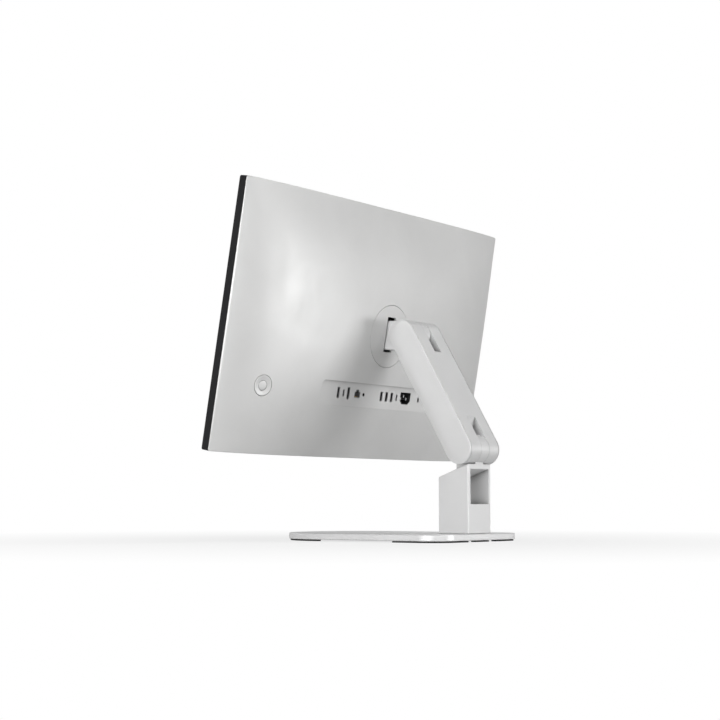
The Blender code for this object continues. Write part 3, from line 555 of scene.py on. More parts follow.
LOOKS = {
    "silver_plastic": blasted("silver_paint", (0.64, 0.64, 0.635), 0.44, 0.35, 2600, 0.00012),
    "silver_metal": blasted("silver_casting", (0.70, 0.70, 0.70), 0.42, 0.35, 2100, 0.00014, (0.016, 0.1)),
    "plate_metal": blasted("silver_foot", (0.80, 0.80, 0.80), 0.36, 0.35, 2400, 0.000008, wear=0.04),
    "black_plastic": moulded("black_rim", (0.009, 0.009, 0.010), 0.5, 1800, 0.00012, 1.6, 0.3),
    "black_rubber": moulded("pad_rubber", (0.020, 0.020, 0.021), 0.78, 900, 0.00025, 2.2),
    "socket_black": moulded("socket_plastic", (0.012, 0.012, 0.013), 0.5, 2200, 0.0001),
    "lens": moulded("lens_glass", (0.003, 0.003, 0.007), 0.12, 300, 0.00001, 1.2, 0.8),
    "white_sheet": moulded("diffuser_sheet", (0.80, 0.80, 0.79), 0.5, 1500, 0.00005, 1.05),
    "screen_glass": screen_glass(),
    "steel": drawn_metal("zinc_steel", (0.55, 0.56, 0.57), 0.36, (0.03, 1, 1)),
    "spring_steel": drawn_metal("oiled_spring", (0.30, 0.30, 0.31), 0.34, (1, 0.2, 0.2)),
    "socket_metal": drawn_metal("socket_nickel", (0.42, 0.42, 0.43), 0.34, (1, 0.06, 1), 900),
    "contact_gold": drawn_metal("contact_gold", (0.83, 0.60, 0.28), 0.25, (1, 0.1, 1), 1500),
    "copper": drawn_metal("bare_copper", (0.72, 0.38, 0.22), 0.30, (0.1, 1, 1)),
    "aluminium_fins": drawn_metal("bare_fins", (0.70, 0.71, 0.72), 0.38, (0.05, 1, 1)),
    "circuit_board": circuit_board(),
}
for row in frame["record"]["subparts"]:
    cad_node = NODES[row["node"]]
    cad_node.data.materials.clear()
    cad_node.data.materials.append(LOOKS[row["material_slot"]])


# ---- display housing ----


def dome_depth(x, height):
    """How far the domed back stands behind the screen's face."""
    side = max(0.0, 1 - abs(x / DOME_HALF_WIDTH) ** 4) ** DOME_SIDE_POWER
    end = 1 - DOME_END_DROP * abs(height / DOME_HALF_HEIGHT) ** DOME_END_POWER
    return SHELL_EDGE + (SHELL_PEAK - SHELL_EDGE) * side * end


def graded(half, edge, count):
    """Places from -half to half: the given distances in from each end, and count steps between."""
    inner = half - edge[-1]
    middle = [inner * math.sin(math.pi / 2 * (2 * k / count - 1)) for k in range(1, count)]
    return [-half + e for e in edge] + middle + [half - e for e in reversed(edge)]


def dome_solid(name, half_width, half_height, corner, rounding, base, drop, counts):
    """A solid under the dome: rounded corners in plan, and a fillet where the dome meets the walls."""
    across = graded(half_width, FILLET_CUTS, counts[0])
    up = graded(half_height, FILLET_CUTS, counts[1])
    bm = bmesh.new()
    rows = []
    for v in up:
        row = []
        for u in across:
            a, b = abs(u) - half_width + corner, abs(v) - half_height + corner
            x, z = u, v
            inward = min(half_width - abs(u), half_height - abs(v))
            if a > 0 and b > 0:
                reach = max(a, b)
                shrink = reach / math.hypot(a, b)
                x = math.copysign(half_width - corner + a * shrink, u)
                z = math.copysign(half_height - corner + b * shrink, v)
                inward = corner - reach
            full = dome_depth(x, z) - drop
            radius = min(rounding, 0.6 * max(full - base, 0.0005))
            inward = min(inward, radius)
            dip = radius - math.sqrt(max(0.0, radius**2 - (radius - inward) ** 2))
            row.append(bm.verts.new((x, max(full - dip, base + 0.0003), z)))
        rows.append(row)
    for low, high in zip(rows, rows[1:]):
        for k in range(len(low) - 1):
            bm.faces.new((low[k], low[k + 1], high[k + 1], high[k]))
    rim = rows[0][:-1] + [row[-1] for row in rows[:-1]] + rows[-1][:0:-1] + [row[0] for row in rows[:0:-1]]
    feet = [bm.verts.new((vert.co.x, base, vert.co.z)) for vert in rim]
    for k in range(len(rim)):
        n = (k + 1) % len(rim)
        bm.faces.new((rim[k], rim[n], feet[n], feet[k]))
    bm.faces.new(feet)
    return add(name, bm)


def build_shell():
    low, high = extent("rear_cover", DISPLAY)
    half_width, half_height = high.x, high.z
    shell = dome_solid("rear_shell", half_width, half_height, SHELL_CORNER, SHELL_FILLET, low.y, 0, (96, 64))
    inner = (half_width - SHELL_SIDE_WALL, half_height - SHELL_SIDE_WALL, SHELL_CORNER / 2, SHELL_FILLET / 4)
    hollow = dome_solid("hollow", *inner, low.y - SHELL_FILLET * 2.5, SHELL_WALL, (40, 26))
    half_bay, behind = BAY_SIZE[0] / 2 + BAY_WALL, BAY_FLOOR - BAY_WALL
    half_tall = BAY_SIZE[1] / 2 + BAY_WALL
    carve(hollow, block(
        "bay_block",
        (-half_bay, behind, BAY_CENTRE_HEIGHT - half_tall),
        (half_bay, behind + FAR, BAY_CENTRE_HEIGHT + half_tall),
    ))
    bay_outline = rounded_rectangle(*BAY_SIZE, BAY_RADIUS, (0, BAY_CENTRE_HEIGHT))
    hub_radius = extent("hub_disc", DISPLAY)[1].x + HUB_GAP
    carve(
        shell,
        hollow,
        prism("bay", bay_outline, BAY_FLOOR, BAY_FLOOR + FAR, lay_face),
        prism("hub_hole", circle((0, 0), hub_radius, 128), *HUB_HOLE, lay_face),
    )
    round_edges(shell, SHELL_EDGE_ROUND, 2, 45)
    ring_radius = extent("button_ring", BUTTON)[1].x + BUTTON_HOLE_GAP
    button_hole = prism("button_hole", circle((0, 0), ring_radius, 96), -0.01, 0.01, lay_face)
    button_hole.data.transform(DISPLAY.inverted() @ BUTTON)
    cutters = [button_hole]
    for node in SOCKETS:
        grown = opening_of(node, SOCKET_WALL + PORT_GAP)
        cutters.append(prism("port", grown, BAY_FLOOR - 0.004, BAY_FLOOR + 0.004, lay_face))
    cutters += vent_cutters(half_height)
    carve(shell, *cutters)
    shell.data.transform(DISPLAY)
    dress(shell, "display", "silver_plastic", "silver_plastic", "rear_cover")


def vent_cutters(half_height):
    """Round-ended slots along the lower wall, and over the radiator in the upper one."""
    cutters = []
    for first, count, end in VENT_ROWS:
        for index in range(count):
            centre = (first + index * VENT_PITCH, VENT_DEPTH)
            outline = rounded_rectangle(*VENT_SLOT, VENT_SLOT[0] * 0.49, centre, 5)
            low, high = sorted((end * (half_height - VENT_REACH), end * (half_height + VENT_REACH)))
            cutters.append(prism("vent", outline, low, high, lay_plan))
    return cutters


def build_rim():
    """The black frame round the screen, with softened edges and the ledge behind the glass."""
    low, high = extent("front_frame", DISPLAY)
    width, height, depth = high.x - low.x, high.z - low.z, high.y
    lip, ledge, soft, chamfer = FRAME_LIP, FRAME_LEDGE, FRAME_ROUND, FRAME_CHAMFER

    def ring(inset, y):
        corner = max(FRAME_CORNER - inset, 0.0008)
        outline = rounded_rectangle(width - 2 * inset, height - 2 * inset, corner, steps=8)
        return [(x, y, z) for x, z in outline]

    front = [(inset, soft - rise) for inset, rise in fillet(soft)]
    inner = [
        (lip - soft / 2, 0.0), (lip, soft / 2), (lip, GLASS_SEAT),
        (ledge, GLASS_SEAT), (ledge, LEDGE_BACK), (lip, LEDGE_BACK),
    ]
    profile = [(chamfer, depth), (0, depth - chamfer), *front, *inner, (lip, depth)]
    rim = loft("screen_rim", [ring(inset, y) for inset, y in profile], DISPLAY, hollow=True)
    dress(rim, "display", "black_plastic", "black_plastic", "front_frame")


def build_glass():
    low, high = extent("cover_glass", DISPLAY)
    width, height = high.x - low.x, high.z - low.z

    def outline(inset):
        corner = max(4 * GLASS_ROUND - inset, GLASS_ROUND)
        return rounded_rectangle(width - 2 * inset, height - 2 * inset, corner, steps=6)

    glass = loft("screen_glass", plate_rings(outline, low.y, high.y, GLASS_ROUND, lay_face), DISPLAY)
    dress(glass, "display", "screen_glass", "screen_glass", "cover_glass")


def build_lens():
    """The camera in the top border of the glass, with its status light beside it."""
    face = extent("cover_glass", DISPLAY)[0].y
    front, back = face - DISC_PROUD, face + DISC_SET
    up = sum(corner.z for corner in extent("camera_module", DISPLAY)) / 2
    for name, across, radius, look in CAMERA_DISCS:
        profile = [(0, front), (radius - DISC_BEVEL, front), (radius, back), (0, back)]
        rings = [[(a + across, y, b + up) for a, b in circle((0, 0), max(r, POINT), 48)] for r, y in profile]
        dress(loft(name, rings, DISPLAY), "display", look, "black_plastic")


# ---- power button ----


def button_frame():
    """The frame whose Y axis is the button's own way out of the back."""
    joint = JOINTS["power_press"]
    out = -Vector(joint["axis"]).normalized()
    places = [vert.co for vert in NODES["button_ring"].data.vertices]
    middle = sum(places, Vector()) / len(places)
    across = (X_AXIS - out * X_AXIS.dot(out)).normalized()
    turn = Matrix((across, out, across.cross(out))).transposed().to_4x4()
    rough = Matrix.Translation(middle) @ turn
    front = max((rough.inverted() @ vert.co).y for vert in NODES["power_button"].data.vertices)
    return Matrix.Translation(middle + out * front) @ turn


def turned(name, profile, matrix, sides=96):
    """A closed profile of (radius, depth) points turned about the Y axis, from axis to axis."""
    rings = [[(a, y, b) for a, b in circle((0, 0), max(radius, POINT), sides)] for radius, y in profile]
    return loft(name, rings, matrix)


def build_button():
    low, high = extent("button_ring", BUTTON)
    outer = high.x - RING_GAP
    face = extent("power_button", BUTTON)[1].x - CAP_TRIM
    inner, rim = face + CAP_GAP, outer - LIP
    bowl = []
    for k in range(CURVE_STEPS + 1):
        share = k / CURVE_STEPS
        bowl.append((inner + (rim - inner) * share, -DISH * math.cos(math.pi / 2 * share) ** 1.5))
    ring = [
        (outer, -BUTTON_BEVEL), (outer, low.y), (inner, low.y),
        (inner, -DISH - BUTTON_BEVEL), (inner + 0.0001, -DISH - 0.00007), *bowl,
        (outer - BUTTON_BEVEL, -0.00003), (outer - 0.0001, -0.00012),
    ]
    rings = [[(a, y, b) for a, b in circle((0, 0), radius)] for radius, y in ring]
    surround = loft("power_surround", rings, BUTTON, hollow=True)
    dress(surround, "display", "silver_plastic", "silver_plastic", "button_ring")
    turns = [math.pi / 2 * k / (CURVE_STEPS + 1) for k in range(CURVE_STEPS + 1)]
    crown = [(face * math.sin(turn), -DISH + DISH * math.cos(turn)) for turn in turns]
    bottom = extent("power_button", BUTTON)[0].y
    profile = [
        *crown, (face - 0.00004, -DISH - 0.00002), (face, -DISH - CAP_BEVEL),
        (face, bottom + CAP_BEVEL), (face - CAP_BEVEL, bottom), (0, bottom),
    ]
    dress(turned("power_cap", profile, BUTTON), "button", "silver_plastic", "silver_plastic", "power_button")


# ---- hub and neck ----


def build_hub_disc():
    low, high = extent("hub_disc", DISPLAY)
    radius = high.x

    def outline(inset):
        return circle((0, 0), radius - inset, 160)

    crown = [(radius * 0.5, high.y)]
    disc = loft("hub_cover", plate_rings(outline, low.y, high.y, DISC_ROUND, lay_face, crown))
    slot = rounded_rectangle(*HUB_SLOT, HUB_SLOT_CORNER, (0, HUB_SLOT_LIFT), 6)
    carve(disc, prism("slot", slot, 0.0, 0.1, lay_face))
    round_edges(disc, FINE_ROUND, 2, 60)
    disc.data.transform(DISPLAY)
    dress(disc, "hub", "silver_plastic", "silver_metal", "hub_disc")


def bar_rings(outline, half, rounding):
    """Rings of a bar across the object, from one side to the other."""
    return plate_rings(outline, -half, half, rounding, lay_side)


def bore(centre, radius, sides):
    return prism("bore", circle(centre, radius, sides), -FAR, FAR, lay_side)


def build_neck():
    half = extent("neck", NECK)[1].x
    tilt = TILT_HINGE - UPPER_HINGE
    far_end = (tilt.y, tilt.z)

    def outline(inset):
        return capsule((0, 0), far_end, HINGE_RADIUS - inset, 48)

    neck = loft("neck_bar", bar_rings(outline, half, NECK_ROUND))
    carve(neck, bore((0, 0), BORE_UPPER, 32), bore(far_end, BORE_TILT, 32), link_slot(LINK_PIVOT, -90))
    neck.data.transform(NECK)
    dress(neck, "head", "silver_metal", "silver_metal", "neck")


LINK_PIVOT = Vector(JOINTS["link_swing"]["pos_m"]) - LOWER_HINGE


def link_slot(pivot, turn):
    """The slot for the levelling link's end at each angle of the arm, leaving its pin across it."""
    reach, radius = LINK_REACH, LINK_RADIUS
    first, last = (lean + turn for lean in LEANS)

    def along(heading, aside):
        a = math.radians(heading)
        return (
            pivot.y + reach * math.cos(a) - aside * math.sin(a),
            pivot.z + reach * math.sin(a) + aside * math.cos(a),
        )

    centre = (pivot.y, pivot.z)
    outline = [along(first, -radius), along(last, radius), *arc(centre, radius, last + 90, first + 270, 12)]
    pocket = prism("pocket", outline, -LINK_HALF, LINK_HALF, lay_side)
    pin = circle(centre, LINK_PIN_RADIUS, 24)
    return carve(pocket, prism("pin", pin, -LINK_PIN_HALF, LINK_PIN_HALF, lay_side))


# ---- swing arm ----


def build_arm():
    """The casting: forks at both ends, side pockets, and the scooped ways in its rear face."""
    length, radius = ARM_LENGTH, HINGE_RADIUS
    half = extent("arm_body", ARM)[1].x

    def outline(inset):
        return capsule((0, 0), (0, length), radius - inset, 56)

    body = loft("arm_casting", bar_rings(outline, half - ARM_SEAM, ARM_SEAM))
    cutters = []
    for side in (-1, 1):
        reach = sorted((side * POCKET_INNER, side * (half + POCKET_PAST)))
        pocket = prism("pocket", capsule((0, 0), (0, length), radius - POCKET_RIM), *reach, lay_side)
        for centre in ((0, 0), (0, length)):
            carve(pocket, prism("boss", circle(centre, BOSS_RADIUS, 48), -BOSS_HALF, BOSS_HALF, lay_side))
        cutters.append(pocket)
    lower = TONGUE_HALF + FORK_GAP
    upper = extent("neck", NECK)[1].x + 2 * FORK_GAP
    cutters += [
        block("link_way", *LINK_WAY),
        block("lower_fork", (-lower, -FAR, -FAR), (lower, FAR, LOWER_FORK_TOP)),
        block("upper_fork", (-upper, -FAR, length - UPPER_FORK_DEPTH), (upper, FAR, length + FAR)),
        prism("lower_scoop", scoop(LOWER_SCOOP), -lower + SLIVER, lower - SLIVER, lay_side),
        prism("upper_scoop", scoop(UPPER_SCOOP), -upper + SLIVER, upper - SLIVER, lay_side),
        bore((0, 0), BORE_LOWER, 48),
        bore((0, length), BORE_UPPER, 48),
    ]
    carve(body, *cutters)
    round_edges(body, CAST_ROUND, 2, 50)
    body.data.transform(ARM)
    dress(body, "arm", "silver_metal", "silver_metal", "arm_body")


def smooth_through(knots, steps):
    """Points on a curve that passes through every knot."""
    knots = [Vector(knot) for knot in knots]
    ends = [2 * knots[0] - knots[1], *knots, 2 * knots[-1] - knots[-2]]
    points = []
    for piece in range(len(knots) - 1):
        a, b, c, d = ends[piece : piece + 4]
        for k in range(steps):
            t = k / steps
            square, cube = 2 * a - 5 * b + 4 * c - d, 3 * b - a - 3 * c + d
            points.append(0.5 * (2 * b + (c - a) * t + square * t**2 + cube * t**3))
    return points + [knots[-1]]


def scoop(knots):
    """The side outline of a ramp, closed outside the arm."""
    points = [tuple(point) for point in smooth_through([(*knot, 0) for knot in knots], 8)]
    mouth = SCOOP_MOUTHS[knots[0][1] > ARM_LENGTH / 2]
    return [(a, b) for a, b, _ in points] + [(FAR, knots[-1][1]), (FAR, mouth), (knots[0][0], mouth)]


def cap_outline(front_inset, rear_inset):
    """The arm's outline pulled in by one amount along its front edge and another along its rear."""
    steps = 56
    outer = capsule((0, 0), (0, ARM_LENGTH), HINGE_RADIUS, steps)
    headings = [180 * k / steps for k in range(steps + 1)] + [180 + 180 * k / steps for k in range(steps + 1)]
    points = []
    for (a, b), heading in zip(outer, headings):
        way = (math.cos(math.radians(heading)), math.sin(math.radians(heading)))
        share = (1 - way[0]) / 2
        share = share * share * (3 - 2 * share)
        inset = rear_inset + (front_inset - rear_inset) * share
        points.append((a - way[0] * inset, b - way[1] * inset))
    return points


def build_caps():
    """The cushioned covers on both sides of the arm: a broad roll in front, a tight edge behind."""
    for side, label in ((1, "left"), (-1, "right")):
        low, high = extent(f"arm_cap_{label}", ARM)
        inner, outer = (low.x, high.x) if side > 0 else (-high.x, -low.x)
        base = inner + GROOVE_TOP
        rings = [
            ((GROOVE, GROOVE), inner), ((GROOVE, GROOVE), inner + 0.7 * GROOVE_TOP),
            ((0, 0), inner + 0.8 * GROOVE_TOP), ((0, 0), base),
        ]
        for k in range(1, CUSHION_STEPS + 1):
            share = k / CUSHION_STEPS
            rise = 1 - (1 - share) ** CUSHION_POWER
            rings.append(((CUSHION_FRONT * share, CUSHION_REAR * share), base + (outer - base) * rise))
        points = [[(side * x, a, b) for a, b in cap_outline(*insets)] for insets, x in rings]
        cap = loft(f"arm_cover_{label}", points, ARM)
        dress(cap, "arm", "silver_metal", "silver_metal", f"arm_cap_{label}", sharp=60)


# ---- column and foot ----


def screw_places():
    """(x, y) of each screw that holds the column on the foot."""
    boxes = [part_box(node) for node in ("column_screw_left", "column_screw_right")]
    return [((low.x + high.x) / 2, (low.y + high.y) / 2) for low, high in boxes]


def build_column():
    """The column with its cable window, and the knuckle of the lower hinge on top."""
    low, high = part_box("column")
    y, z = LOWER_HINGE.y, LOWER_HINGE.z
    slope = math.tan(math.radians(COLUMN_SLOPE))
    front, rear, rear_top = low.y, COLUMN_REAR, COLUMN_TOP_REAR
    side = [(front, low.z), (rear, low.z), (rear, rear_top), (front, rear_top - (rear - front) * slope)]
    column = prism("column_casting", side, low.x, high.x, lay_side)
    round_edges(column, COLUMN_ROUND, 4, 60)
    meets = math.degrees(math.acos((rear - y) / HINGE_RADIUS))
    root, inner = rear_top - TONGUE_ROOT, y - HINGE_RADIUS
    tongue = [
        *arc((y, z), HINGE_RADIUS, -meets, 180, 56),
        (inner, root - (rear - inner) * slope),
        (rear - TONGUE_INSET, root),
    ]
    knuckle = prism("knuckle", tongue, -TONGUE_HALF, TONGUE_HALF, lay_side)
    round_edges(knuckle, EDGE_ROUND, 2, 60)
    carve(column, knuckle, operation="UNION")
    ceiling, past = rear_top - WINDOW_LINTEL, WINDOW_PAST
    window = [
        (front - past, WINDOW_SILL), (rear + past, WINDOW_SILL),
        (rear + past, ceiling + past * slope), (front - past, ceiling - (rear - front + past) * slope),
    ]
    carve(column, prism("window", window, -WINDOW_HALF, WINDOW_HALF, lay_side))
    round_edges(column, EDGE_ROUND, 2, 60)
    screws = [
        prism("thread", circle((across, (front + rear) / 2), SCREW_RADIUS, 24), 0, SCREW_TOP, lay_plan)
        for across, _ in screw_places()
    ]
    carve(column, bore((y, z), BORE_LOWER, 48), link_slot(LOWER_HINGE + LINK_PIVOT, 90), *screws)
    dress(column, "base", "silver_metal", "silver_metal", "column")


def foot_outline(inset):
    """The foot: a full round front and two smaller rear corners."""
    low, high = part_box("base_plate")
    rear, front = FOOT_REAR_RADIUS, FOOT_FRONT_RADIUS
    points = []
    for centre, radius, start in (
        ((high.x - rear, high.y - rear), rear, 0),
        ((low.x + rear, high.y - rear), rear, 90),
        ((low.x + front, low.y + front), front, 180),
        ((high.x - front, low.y + front), front, 270),
    ):
        points += arc(centre, radius - inset, start, start + 90, 28)
    return points


def build_foot():
    low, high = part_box("base_plate")
    crown = [(FOOT_CROWN, high.z)]
    plate = loft("foot_plate", plate_rings(foot_outline, low.z, high.z, FOOT_ROUND, lay_plan, crown))
    cutters = []
    for centre in screw_places():
        cutters += [
            prism("sink", circle(centre, SCREW_SINK, 32), 0, SCREW_SINK_TOP, lay_plan),
            prism("clearance", circle(centre, SCREW_RADIUS, 24), 0, SCREW_PAST, lay_plan),
        ]
    carve(plate, *cutters)
    dress(plate, "base", "plate_metal", "silver_metal", "base_plate")
    for node in NODES:
        if node.startswith("foot_"):
            build_pad(node)


def build_pad(node):
    """A rubber pad that follows the foot's edge, with softened edges of its own."""
    source = NODES[node].data
    bm = bmesh.new()
    bm.from_mesh(source)
    bmesh.ops.remove_doubles(bm, verts=bm.verts, dist=1e-6)
    bmesh.ops.dissolve_limit(bm, angle_limit=math.radians(1), verts=bm.verts, edges=bm.edges)
    pad = add(node + "_pad", bm)
    round_edges(pad, EDGE_ROUND, 3, 50)
    dress(pad, "base", "black_rubber", "black_rubber", node)


# ---- sockets ----


def rectangle(width, height, centre=(0, 0)):
    (a, b), w, h = centre, width / 2, height / 2
    return [(a - w, b - h), (a + w, b - h), (a + w, b + h), (a - w, b + h)]


def chamfered(width, height, corner):
    """A rectangle whose two lower corners are cut off."""
    w, h = width / 2, height / 2
    return [(-w, h), (-w, corner - h), (corner - w, -h), (w - corner, -h), (w, corner - h), (w, h)]


def softened(points, radius, steps=4):
    """The outline with each corner turned into a small arc."""
    made = []
    for k, point in enumerate(points):
        before, here, after = (Vector(points[i % len(points)]) for i in (k - 1, k, k + 1))
        back, on = (before - here), (after - here)
        reach = min(radius, back.length * 0.45, on.length * 0.45)
        first, last = here + back.normalized() * reach, here + on.normalized() * reach
        for step in range(steps + 1):
            t = step / steps
            made.append(tuple(first * (1 - t) ** 2 + here * 2 * t * (1 - t) + last * t**2))
    return made


def offset(points, amount):
    """The outline moved outwards by an amount along its own normals."""
    made, count = [], len(points)
    pairs = [(points[k], points[(k + 1) % count]) for k in range(count)]
    turn = sum(a[0] * b[1] - b[0] * a[1] for a, b in pairs)
    way = 1 if turn > 0 else -1
    for k in range(count):
        before, here, after = (Vector(points[i % count]) for i in (k - 1, k, k + 1))
        first, last = (here - before).normalized(), (after - here).normalized()
        a, b = Vector((first.y, -first.x)) * way, Vector((last.y, -last.x)) * way
        middle = (a + b).normalized()
        made.append(tuple(here + middle * amount / max(0.5, middle.dot(a))))
    return made


# Socket: opening and its corner radius, tongues as (across, up, width, height), contacts on each, finish
USB_A = ((rectangle(0.0050, 0.0124), 0.0004), [(0.001, 0, 0.0016, 0.0104)], 4, "socket_metal")
USB_C_OPENING = rounded_rectangle(0.0028, 0.0086, 0.0013, steps=5)
USB_C = ((USB_C_OPENING, None), [(0, 0, 0.0008, 0.0064)], 6, "socket_metal")
VIDEO_TONGUE = [(0, 0, 0.0016, 0.010)]
NETWORK_OPENING = ([
    (-0.006, -0.0042), (0.006, -0.0042), (0.006, 0.0026), (0.0028, 0.0026),
    (0.0028, 0.0056), (-0.0028, 0.0056), (-0.0028, 0.0026), (-0.006, 0.0026),
], 0.0004)
SOCKETS = {
    "hdmi_port": ((chamfered(0.0046, 0.0142, 0.0011), 0.0004), VIDEO_TONGUE, 9, "socket_metal"),
    "usb_c_port_1": USB_C,
    "display_port": ((chamfered(0.0050, 0.0162, 0.0018), 0.0004), VIDEO_TONGUE, 9, "socket_metal"),
    "lan_port": (NETWORK_OPENING, [], 0, "socket_metal"),
    "audio_jack": ((circle((0, 0), 0.0018, 40), None), [], 0, "socket_black"),
    "usb_a_port_1": USB_A,
    "usb_a_port_2": USB_A,
    "usb_a_port_3": USB_A,
    "usb_c_port_2": USB_C,
    "power_inlet": ((chamfered(0.0244, 0.0160, 0.0046), 0.0010), [], 0, "socket_black"),
    "lock_slot": ((rounded_rectangle(0.0032, 0.0072, 0.0008, steps=5), None), [], 0, "steel"),
}


def opening_of(node, grow):
    """A socket's opening where it lies in the bay, made larger by an amount all round."""
    points, radius = SOCKETS[node][0]
    grown = offset(points, grow)
    return shifted(softened(grown, radius) if radius else grown, socket_middle(node)[0], PORT_HEIGHT)


def socket_middle(node):
    low, high = extent(node, DISPLAY)
    return (low.x + high.x) / 2, high.y


def shifted(points, x, z):
    return [(a + x, b + z) for a, b in points]


def several(name, boxes):
    """One piece made of many small blocks, each (lowest corner, highest corner)."""
    bm = bmesh.new()
    for low, high in boxes:
        size = [b - a for a, b in zip(low, high)]
        middle = [(a + b) / 2 for a, b in zip(low, high)]
        matrix = Matrix.Translation(middle) @ Matrix.Diagonal((*size, 1))
        bmesh.ops.create_cube(bm, size=1, matrix=matrix)
    return add(name, bm, DISPLAY)


def build_socket(node):
    """A drawn shell with a rolled lip, its tongue or pins, and the contacts on them."""
    _, tongues, contacts, look = SOCKETS[node]
    x, face = socket_middle(node)
    back = extent(node, DISPLAY)[0].y
    profile = [
        (SOCKET_WALL, back), (SOCKET_WALL, face - SOCKET_LIP), (SOCKET_WALL - SOCKET_LIP, face),
        (SOCKET_LIP, face), (0, face - 0.0002), (0, face - SOCKET_DEPTH),
    ]
    rings = [[(a, y, b) for a, b in opening_of(node, grow)] for grow, y in profile]
    shell = loft(node + "_shell", rings, DISPLAY)
    dress(shell, "display", look, look, node)
    root, tip = face - SOCKET_DEPTH + SOCKET_ROOT, face - TONGUE_RECESS
    for across, up, width, height in tongues:
        outline = shifted(rectangle(width, height, (across, up)), x, PORT_HEIGHT)
        tongue = prism(f"{node}_tongue", outline, root, tip, lay_face, DISPLAY)
        round_edges(tongue, TINY_ROUND, 2)
        dress(tongue, "display", "socket_black", "socket_black")
        side, pitch = x + across + width / 2, height / (contacts + 0.6)
        strips = []
        for k in range(contacts):
            z = PORT_HEIGHT + up + (k - (contacts - 1) / 2) * pitch
            strips.append((
                (side - CONTACT_SUNK, root + CONTACT_ROOT, z - pitch * CONTACT_SHARE),
                (side + CONTACT_PROUD, tip - CONTACT_TIP, z + pitch * CONTACT_SHARE),
            ))
        dress(several(f"{node}_contacts", strips), "display", "contact_gold", "copper")


def build_sockets():
    for node in SOCKETS:
        build_socket(node)
    x, face = socket_middle("power_inlet")
    root = face - SOCKET_DEPTH + SOCKET_ROOT
    for k, (across, up) in enumerate(INLET_PINS):
        outline = rounded_rectangle(*PIN_SIZE, EDGE_ROUND, (x + across, PORT_HEIGHT + up), 3)
        pin = prism(f"inlet_pin_{k + 1}", outline, root, face - PIN_RECESS, lay_face, DISPLAY)
        round_edges(pin, FINE_ROUND, 2)
        dress(pin, "display", "steel", "socket_metal")
    x, face = socket_middle("lan_port")
    wires = []
    for k in range(WIRE_COUNT):
        across = x + (k - (WIRE_COUNT - 1) / 2) * WIRE_PITCH
        wires.append((
            (across - WIRE_HALF, face - WIRE_REACH[0], PORT_HEIGHT + WIRE_BAND[0]),
            (across + WIRE_HALF, face - WIRE_REACH[1], PORT_HEIGHT + WIRE_BAND[1]),
        ))
    dress(several("lan_contacts", wires), "display", "contact_gold", "copper")
    x, face = socket_middle("audio_jack")
    inner, crest, outer = AUDIO_RIM
    low = face - AUDIO_RIM_DEPTH
    rim = [(outer, low), (outer, face), (crest, face + AUDIO_RIM_RISE), (inner, face), (inner, low)]
    rings = [[(x + a, y, PORT_HEIGHT + b) for a, b in circle((0, 0), radius, 48)] for radius, y in rim]
    dress(loft("audio_rim", rings, DISPLAY, hollow=True), "display", "socket_black", "socket_black")


BUTTON = button_frame()
build_shell()
build_rim()
build_glass()
build_lens()
build_button()
build_hub_disc()
build_neck()
build_arm()
build_caps()
build_column()
build_foot()
build_sockets()


# ---- stage ----


def area_light(name, place, target, size, power, mirrored):
    data = bpy.data.lights.new(name, "AREA")
    data.shape = "RECTANGLE"
    data.size, data.size_y = size
    data.energy = power
    light = bpy.data.objects.new(name, data)
    light.location = place
    light.visible_glossy = mirrored
    light.rotation_euler = (Vector(target) - Vector(place)).to_track_quat("-Z", "Y").to_euler()
    bpy.context.scene.collection.objects.link(light)


def build_floor():
    """A pale floor that the camera sees fading into the backdrop, with soft shadows on it."""
    bm = bmesh.new()
    bmesh.ops.create_circle(bm, cap_ends=True, segments=96, radius=FLOOR_RADIUS)
    floor = add("floor", bm)
    look = Look("floor_look", 0.9)
    look.set(specular_ior_level=0.0)
    output = look.tree.nodes["Material Output"]
    distance = look.node("VectorMath", operation="LENGTH")
    look.link(look.place, distance.inputs[0])
    far = look.spread(distance.outputs["Value"], FLOOR_GLOW, 1, *FLOOR_FADE)
    path = look.node("LightPath")
    glow = look.node("Emission")
    glow.inputs["Color"].default_value = (1, 1, 1, 1)
    blend = look.node("MixShader")
    look.link(look.maths("MULTIPLY", far, path.outputs["Is Camera Ray"]), blend.inputs[0])
    look.link(look.shader.outputs[0], blend.inputs[1])
    look.link(glow.outputs[0], blend.inputs[2])
    look.link(blend.outputs[0], output.inputs["Surface"])
    look.set(base_color=FLOOR_COLOUR)
    floor.data.materials.append(look.material)


def build_world(horizon, zenith):
    """A soft room, paler at eye level than overhead, in front of a white backdrop."""
    world = bpy.data.worlds.new("studio")
    bpy.context.scene.world = world
    world.use_nodes = True
    nodes, links = world.node_tree.nodes, world.node_tree.links
    soft = nodes["Background"]
    soft.inputs["Color"].default_value = (1, 1, 1, 1)
    direction, split = nodes.new("ShaderNodeTexCoord"), nodes.new("ShaderNodeSeparateXYZ")
    fall = nodes.new("ShaderNodeMapRange")
    remap(fall, *ROOM_BAND, horizon, zenith)
    links.new(direction.outputs["Generated"], split.inputs["Vector"])
    links.new(split.outputs["Z"], fall.inputs["Value"])
    links.new(fall.outputs["Result"], soft.inputs["Strength"])
    backdrop = nodes.new("ShaderNodeBackground")
    backdrop.inputs["Color"].default_value = (1, 1, 1, 1)
    path, blend = nodes.new("ShaderNodeLightPath"), nodes.new("ShaderNodeMixShader")
    links.new(path.outputs["Is Camera Ray"], blend.inputs[0])
    links.new(soft.outputs[0], blend.inputs[1])
    links.new(backdrop.outputs[0], blend.inputs[2])
    links.new(blend.outputs[0], nodes["World Output"].inputs["Surface"])


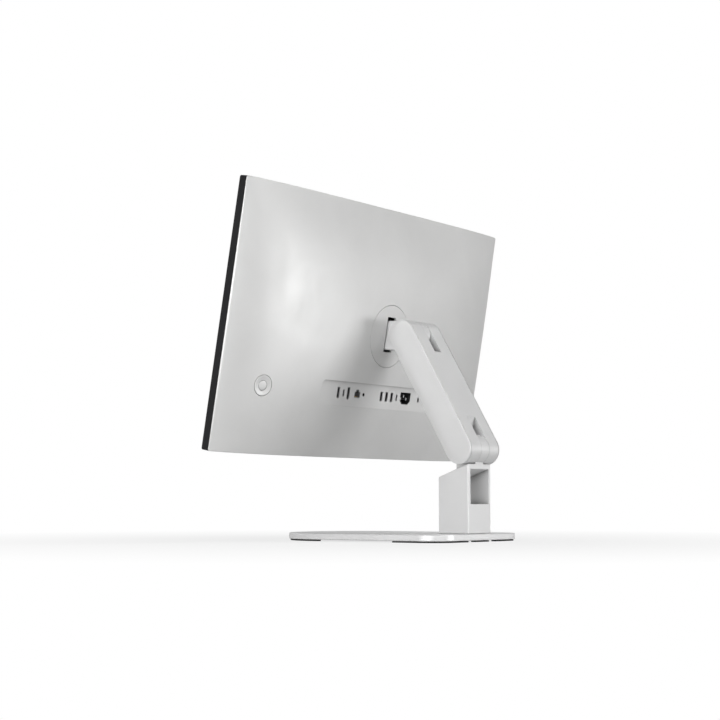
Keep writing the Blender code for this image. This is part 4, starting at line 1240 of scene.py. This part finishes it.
FLOOR_RADIUS = 30
FLOOR_COLOUR = (0.75, 0.75, 0.75, 1)
# How white the floor looks to the camera: a share at the first distance, all at the second
FLOOR_GLOW = 0.72
FLOOR_FADE = (0.15, 0.9)
# The room's light at eye level and overhead, and the heights it changes between
HORIZON, ZENITH = 0.65, 0.14
ROOM_BAND = (0.05, 0.7)
# Camera: yaw and pitch in radians, lens and film width in millimetres
CAMERA_PLACE = (1.8258, 1.3133, 0.0530)
CAMERA_YAW = 0.926453
CAMERA_PITCH = 0.091677
CAMERA_LENS = 77.878
CAMERA_FILM = 36
CAMERA_REACH = (0.05, 60)

build_floor()
build_world(HORIZON, ZENITH)
# Lamps: name, place, target, size, power, and whether surfaces mirror it
LAMPS = (
    ("key", (-0.95, 1.83, 0.19), (0.16, 0.0, 0.32), (0.9, 0.36), 8.5, True),
    ("shadow_key", (-0.95, 1.35, 1.95), (0.0, 0.0, 0.25), (0.6, 0.6), 15, True),
    ("rear_fill", (1.0, 2.1, 0.35), (0.05, 0, 0.25), (1.4, 0.8), 4.5, True),
    ("overhead", (0.3, 0.4, 2.1), (0, 0.05, 0.1), (1.4, 1.4), 1.5, True),
    ("side", (2.3, 0.5, 0.5), (0, 0.05, 0.2), (1.2, 0.9), 29, True),
    ("front_fill", (-0.4, -2.3, 1.3), (0, 0, 0.25), (1.8, 1.4), 20, False),
)
for lamp in LAMPS:
    area_light(*lamp)

camera_data = bpy.data.cameras.new("camera")
camera_data.lens = CAMERA_LENS
camera_data.sensor_width = CAMERA_FILM
camera_data.clip_start, camera_data.clip_end = CAMERA_REACH
camera = bpy.data.objects.new("camera", camera_data)
camera.location = CAMERA_PLACE
heading = Vector((
    -math.sin(CAMERA_YAW) * math.cos(CAMERA_PITCH),
    -math.cos(CAMERA_YAW) * math.cos(CAMERA_PITCH),
    math.sin(CAMERA_PITCH),
))
camera.rotation_euler = heading.to_track_quat("-Z", "Y").to_euler()
bpy.context.scene.collection.objects.link(camera)
bpy.context.scene.camera = camera
bpy.context.scene.view_settings.view_transform = "Standard"
